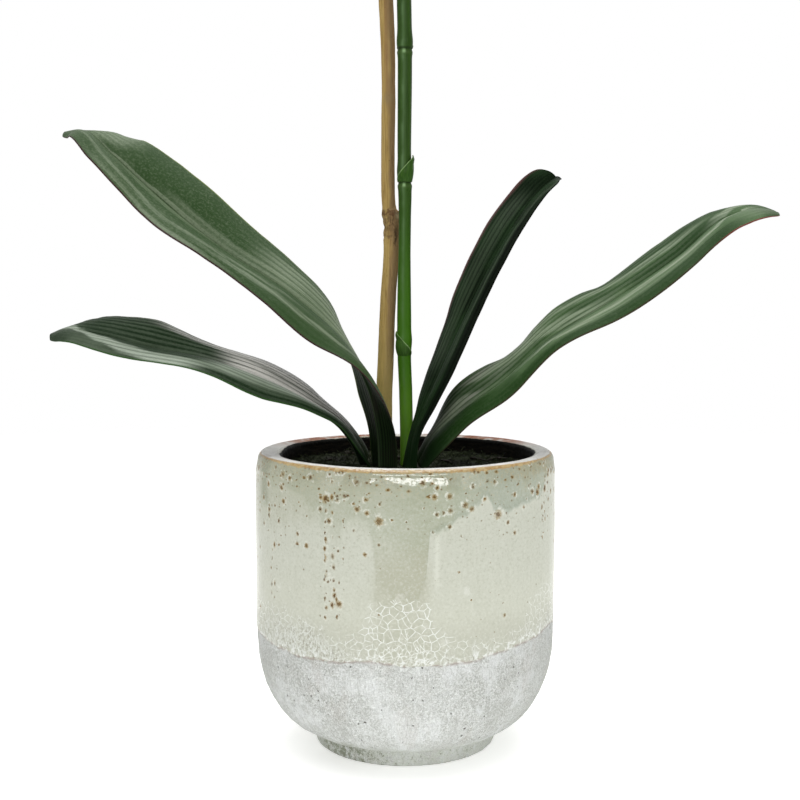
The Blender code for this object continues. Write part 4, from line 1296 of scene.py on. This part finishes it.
def stakeLook(place):
    x, y, h = place.parts()
    angle = place.carried()[1]
    grain = vectorOf(x * 1.5, y * 1.5, h * 0.045).noise(1, 4, 0.65)
    strips = vectorOf(x * 0.42, y * 0.42, h * 0.012).noise(1)
    threads = vectorOf(x * 3.4, y * 3.4, h * 0.1).noise(1, 3, 0.6)
    weather = place.noise(0.07, 4)
    wild = place.noise(0.55, 3)
    knot = stake["knot"]
    shaded = angle + strips.swing(1.6) + weather.swing(1.2)
    edge = (angle.near(0, 0.3) + angle.near(3.14, 0.45)).capped()
    torn = (h + wild.swing(7)).near(knot + 6.8, 1.9) * angle.rise(3.4, 2.6)
    rind = (h + wild.swing(9)).near(knot + 0.5, 9).rise(0, 0.5) * (0.45 + 0.45 * wild.rise(0.42, 0.56))
    crack = (angle + wild.swing(0.8)).near(2.25, 0.3) * (h + wild.swing(6)).near(knot - 5, 8)
    nick = angle.near(0.25, 0.5) * h.near(knot, 2)
    # lit: a painted highlight on the stump above the knot
    lit = angle.near(2.6, 0.45) * (h + wild.swing(3)).near(knot + 5.5, 3.2)
    colour = laid(
        grain.rise(0.35, 0.66).mix(stake["tan"], stake["dry"]),
        # darker on the right side: painted shade
        (shaded.rise(1.25, 1.85) * shaded.rise(5.4, 4.6) * 0.85, stake["dusk"]),
        (grain, 0.46, 0.34, 0.6, stake["bark"]),
        (threads, 0.6, 0.74, 0.4, stake["bark"]),
        (strips, 0.5, 0.62, 0.45, stake["brown"]),
        (weather, 0.55, 0.72, 0.35, (0.33, 0.265, 0.13)),
        # paler towards the foot: painted light
        (h, 222, 160, 0.65, (0.72, 0.56, 0.19)),
        # darker at the left and right edges: painted shade
        (edge * 0.55, (0.085, 0.06, 0.028)),
        (rind * 0.8, (0.2, 0.128, 0.062)),
        (rind * threads.rise(0.48, 0.38) * 0.7, stake["scar"]),
        (torn * 0.8, (0.12, 0.058, 0.03)),
        (((crack + nick) * 0.85).capped(), stake["scar"]),
        (lit * 0.75, (0.43, 0.35, 0.21)),
        (place.noise(1.1), 0.68, 0.76, 0.45, stake["scar"]),
    )
    return colour, 0.6 + 0.3 * grain, grain * 0.35 + threads * 0.18 + weather * 0.2 - (crack + torn) * 0.3


stakeFinish = finish("dryCane", stakeLook, {"IOR": 1.15})
makeStake()
say("stake")

# clips; heights in mm
clips = {"clip_lower": 402, "clip_upper": 436}
clipBuild = {"height": 6, "thick": 1.1, "around": 72, "round": 0.35, "clearance": 0.5}


def makeClip(name, height):
    # band round the stake and the spike, with rounded edges
    stakeEnd = np.array([drawn(stake["x"], height), stake["y"]])
    spikeEnd = spikeAt(spikeShare(height))[:2]
    half = (spikeEnd - stakeEnd) / 2
    angle = circle(clipBuild["around"])
    spoke = grid(np.cos(angle), np.sin(angle))
    shift = np.where((spoke @ half > 0)[:, None], half, -half)
    tall, thick, edge = clipBuild["height"] / 2, clipBuild["thick"] / 2, clipBuild["round"]
    corner = [(thick, z) for z in np.linspace(-tall + edge, tall - edge, 9)]
    corner += [(thick - 0.12, tall - 0.1), (thick - edge, tall)]
    corner += [(-thick + edge, tall), (-thick + 0.12, tall - 0.1)]
    corner += [(-r, -z) for r, z in corner]
    core = stake["radius"] + clipBuild["clearance"] + thick
    # the hook and its catch: a thicker block on one side with finger ridges
    catch = np.exp(-((angle - math.pi * 0.93) / 0.16) ** 2)
    rings = []
    for offset, z in corner:
        ridge = 0.35 * catch * (1 + math.cos(z * 5.2)) * (offset > 0)
        flat = spoke * (core + offset + ridge)[:, None] + shift + (stakeEnd + spikeEnd) / 2
        rings.append(grid(flat[:, 0], flat[:, 1], height + z))
    skin = (np.concatenate(rings), ringsToFaces(len(rings), len(angle), closed=True))
    addPiece(name + "_band", skin, clipFinish, name)


def clipLook(place):
    grain = place.noise(2.4)
    wear = place.noise(0.5, 3)
    colour = laid(wear.rise(0.45, 0.7).mix((0.02, 0.085, 0.026), (0.045, 0.135, 0.05)),
                  (grain, 0.6, 0.75, 0.25, (0.12, 0.21, 0.11)))
    return colour, 0.36 + 0.18 * wear, grain * 0.06


clipFinish = finish("clipPlastic", clipLook)
for clipName, clipHeight in clips.items():
    makeClip(clipName, clipHeight)
say("clips")

# blooms and buds; places in mm, angles in degrees
bloomSpots = {      # step of the spike that carries it, centre, yaw, nod and roll
    "bloom_1": (20, (-39, -24, 468), -17, -6, 5), "bloom_2": (22, (49, -34, 487), 17, -7, -6),
    "bloom_3": (25, (-20, -56, 539), -10, -3, 4), "bloom_4": (27, (68, -82, 541), 12, -6, -3),
}
tepals = {          # direction, length, width, foot share, depth, bend, cup
    "sepal_top": (90, 37, 25, 0.15, 3.2, 4, -1), "sepal_left": (214, 36, 24, 0.15, 3.2, 3, -1),
    "sepal_right": (326, 36, 24, 0.15, 3.2, 3, -1), "petal_left": (172, 38, 42, 0.11, 0, -3, 1.2),
    "petal_right": (8, 38, 42, 0.11, 0, -3, 1.2),
}
tepalBuild = {"foot": 3.05, "thick": 0.9, "edge": 0.28, "widest": 0.48, "rows": 44, "cells": 36, "steps": 34}
budSpots = {        # step of the spike, tip, girth
    "bud_1": (30, (84, -28, 530), 6.2), "bud_2": (32, (92, -64, 526), 5.2), "bud_3": (33, (121, -58, 517), 4),
}
lipCurve = {
    "knots": (0, 0.22, 0.42, 0.68, 0.88, 1), "out": (2.4, 6, 9.5, 13, 13.5, 12.5),
    "down": (3.9, 5.2, 7.5, 12, 17.5, 21), "half": (1.4, 5.6, 3.4, 6.2, 2.4, 0.8),
    "raised": (0, 6.5, 1, 0.5, 0.2, 0),
}
tones = {           # body, veins, foot, back
    "petal": ((0.86, 0.85, 0.84), (0.8, 0.77, 0.79), (0.8, 0.68, 0.72), (0.76, 0.74, 0.74)),
    "sepal": ((0.84, 0.84, 0.8), (0.77, 0.77, 0.73), (0.7, 0.74, 0.52), (0.69, 0.73, 0.56)),
}


def thickened(sheet, normal, thick, raised=0):
    return sheet + normal * (thick / 2 + raised)[..., None], sheet - normal * (thick / 2 - raised)[..., None]


def petalSheet(kind, seed):
    angle, length, width, foot, depth, bend, cup = tepals[kind]
    out = np.array([math.cos(math.radians(angle)), 0, math.sin(math.radians(angle))])
    side = np.array([-out[2], 0, out[0]])
    t = np.linspace(0, 1, tepalBuild["rows"] + 1)[:, None]
    across = np.linspace(-1, 1, tepalBuild["cells"] + 1)
    widest = tepalBuild["widest"]
    grow = foot + (1 - foot) * np.sin(math.pi / 2 * np.minimum(1, t / widest)) ** 1.2
    close = np.maximum(0.004, 1 - np.maximum(0, (t - widest) / (1 - widest)) ** 2.4) ** 0.5
    belly = np.sin(math.pi * t)
    reach = tepalBuild["foot"] + length * t - 0.06 * length * across**2 * belly
    ruffle = rippled(grid(t * 40, across * 20, seed * 7), 0.11, 2, seed)
    ruffle = ruffle * across**2 * softStep(0.15, 0.6, t) * 0.9
    crease = 0.25 * np.exp(-(across / 0.07) ** 2) * belly
    back = depth + bend * t * t + cup * across**2 * belly + ruffle + crease
    spread = across * width / 2 * grow * close
    sheet = (out * reach[..., None] + side * spread[..., None]) + np.array([0, 1, 0]) * back[..., None]
    normal = normalsOf(sheet)
    normal *= np.sign(-normal[..., 1:2])
    thin = (1 - np.abs(across) ** 3) * (1 - 0.6 * softStep(0.6, 1, t))
    thick = tepalBuild["edge"] + (tepalBuild["thick"] - tepalBuild["edge"]) * thin
    return *thickened(sheet, normal, thick, 0.035 * np.cos(across * 30) * belly), t, across


def lipSheet(seed):
    t = np.linspace(0, 1, 61)[:, None]
    across = np.linspace(-1, 1, 41)
    out, down, half, raised = (through(lipCurve["knots"], lipCurve[key], t)
                               for key in ("out", "down", "half", "raised"))
    callus = 1.3 * np.exp(-((t - 0.26) / 0.06) ** 2 - (across / 0.35) ** 2)
    ruffle = 0.25 * np.sin(across * 9 + seed) * across**2
    sheet = grid(across * half, -out - callus * 0.3 + ruffle, raised * across**2 - down + callus)
    normal = normalsOf(sheet)
    normal *= np.sign(normal[30, 20, 2] - normal[30, 20, 1])
    return *thickened(sheet, normal, 0.28 + 0.5 * (1 - np.abs(across) ** 3)), t, across


def addTepal(name, sheets, turn, centre, look):
    points, faces, coord = closedSheet(*sheets)
    thing = addPiece(name + "_fine", (points @ turn.T + centre, faces, coord), look, name)
    mesh = bmesh.new()
    mesh.from_mesh(thing.data)
    bmesh.ops.recalc_face_normals(mesh, faces=mesh.faces)
    mesh.to_mesh(thing.data)
    mesh.free()
    thing.data.shade_smooth()


def stalkStart(step, aim):
    share = step / tepalBuild["steps"]
    at = spikeAt(share)
    ahead = unit(spikeAt(min(1, share + 0.01)) - spikeAt(share - 0.01))
    out = aim - at
    out = unit(out - ahead * out.dot(ahead))
    skin = float(spikeRadius(share)) + 0.4
    return [at + out * skin, at + out * (skin + 6)]


def makeColumn(name, turn, centre, step):
    spots = [(0, 14, 0), (0, 5, 0), (0, 0, 0), (0, -5, 0.6), (0, -8, 0.4), (0, -9.4, 0)]
    middle = [turn @ np.array(p, float) + centre for p in spots]
    knots = np.array(stalkStart(step, middle[0]) + middle)
    shares = lengthShares(knots)
    t = np.linspace(0, 1, 90)
    radii = through(shares, [1.2, 1.2, 1.3, 2.2, 2.4, 2.4, 2.2, 0.9], t)
    radii = radii * (1 + 0.05 * np.sin(t * 60) * (1 - softStep(shares[4], shares[5], t)))

    def ribbed(walked, angle):
        return 1 + 0.05 * np.cos(6 * angle) * (1 - softStep(shares[3], shares[4], walked / walked.max()))

    skin = tube(through(shares, knots, t), radii, 22, ribbed, t)
    addPiece(name + "_column_fine", skin, columnFinish, name + "_column")


def makeBud(name, step, tip, girth):
    tip = np.array(tip, float)
    first, second = stalkStart(step, tip)
    fall = unit(tip - second)
    knots = np.array([first, second, second + fall * 7, tip - fall * 9, tip - fall * 4, tip])
    shares = lengthShares(knots)
    t = np.linspace(0, 1, 110)
    radii = np.maximum(0.35, through(shares, [0.9, 0.9, 1.2, girth, girth * 0.8, 0.6], t))
    swell = softStep(shares[2], shares[3], t)[:, None]

    def lobed(walked, angle):
        return 1 - 0.07 * np.abs(np.cos(1.5 * angle)) ** 8 * swell + 0.02 * np.cos(9 * angle) * swell

    skin = tube(through(shares, knots, t), radii, 48, lobed, t)
    addPiece(name + "_fine", skin, budFinish, name)


def tepalLook(place, white, edge, foot, back):
    t, half, under = place.carried()
    across = half * 2 - 1
    veins = vectorOf(across / (0.25 + t * 0.9) * 16, t * 2.4, 0).noise(1, 3, 0.55)
    net = place.noise(0.8, 3)
    colour = laid((veins.rise(0.48, 0.64) * 0.35).mix(white, edge), (net, 0.5, 0.7, 0.18, edge),
                  (t, 0.28, 0.02, 0.75, foot), (under * 0.45 * t.rise(1, 0.2), back))
    return colour, 0.42 + 0.2 * net, veins * 0.16 + net * 0.04


def lipLook(place):
    t, half, under = place.carried()
    across = half * 2 - 1
    stripe = (across * 34 + place.noise(0.5) * 4).math("SINE").rise(0.25, 0.8)
    colour = laid(
        place.noise(0.35, 3).rise(0.35, 0.65).mix((0.52, 0.09, 0.21), (0.7, 0.2, 0.33)),
        (t.near(0.26, 0.13) * across.near(0, 0.75), (0.78, 0.52, 0.06)),
        (stripe * t.rise(0.55, 0.15) * 0.65, (0.3, 0.02, 0.06)),
        (abs(across), 0.7, 1, 0.45, (0.82, 0.62, 0.68)),
        (under * 0.35, (0.8, 0.56, 0.62)),
    )
    return colour, 0.36 + 0.1 * stripe, stripe * 0.1 + place.noise(1.2) * 0.08


def columnLook(place):
    share = place.carried()[2]
    fine = place.noise(0.9, 3)
    colour = laid(
        fine.rise(0.35, 0.65).mix((0.23, 0.3, 0.11), (0.33, 0.39, 0.18)),
        (share.rise(0.45, 0.74), (0.82, 0.79, 0.76)),
        (share, 0.84, 0.93, 0.6, (0.78, 0.48, 0.58)),
        (share.rise(0.955, 0.975), (0.88, 0.83, 0.62)),
    )
    return colour, 0.36 + 0.2 * fine, fine * 0.12


def budLook(place):
    angle, share = place.carried()[1:]
    fine = place.noise(0.5, 3)
    lines = vectorOf((angle * 9).math("COSINE") * 2, share * 3, 0).noise(1, 3)
    colour = laid(
        lines.rise(0.35, 0.65).mix((0.3, 0.37, 0.15), (0.52, 0.56, 0.33)),
        (share, 0.55, 0.3, 0.8, (0.13, 0.21, 0.06)),
        (share, 0.8, 1, 0.35, (0.42, 0.23, 0.24)),
        (fine, 0.6, 0.75, 0.3, (0.25, 0.2, 0.11)),
    )
    return colour, 0.38 + 0.2 * fine, fine * 0.12 + lines * 0.12


soft = {"Subsurface Weight": 0.12, "Subsurface Scale": 0.002}
tepalFinishes = {kind: finish("white" + kind.capitalize(), lambda place: tepalLook(place, *tones[kind]), soft)
                 for kind in tones}
lipFinish = finish("roseLip", lipLook)
columnFinish = finish("creamColumn", columnLook)
budFinish = finish("greenBud", budLook)
for order, (bloomName, (step, centre, yaw, nod, roll)) in enumerate(bloomSpots.items()):
    turn = Matrix.Rotation(math.radians(yaw), 3, "Z") @ Matrix.Rotation(math.radians(roll), 3, "Y")
    turn = np.array(turn @ Matrix.Rotation(math.radians(nod), 3, "X"))
    for kindOrder, kind in enumerate(tepals):
        family = kind.split("_")[0]
        addTepal(bloomName + "_" + kind, petalSheet(kind, 1 + order * 5 + kindOrder), turn, centre,
                 tepalFinishes[family])
    addTepal(bloomName + "_lip", lipSheet(order * 1.7), turn, centre, lipFinish)
    makeColumn(bloomName, turn, centre, step)
for budName, budSpot in budSpots.items():
    makeBud(budName, *budSpot)
say("blooms and buds")
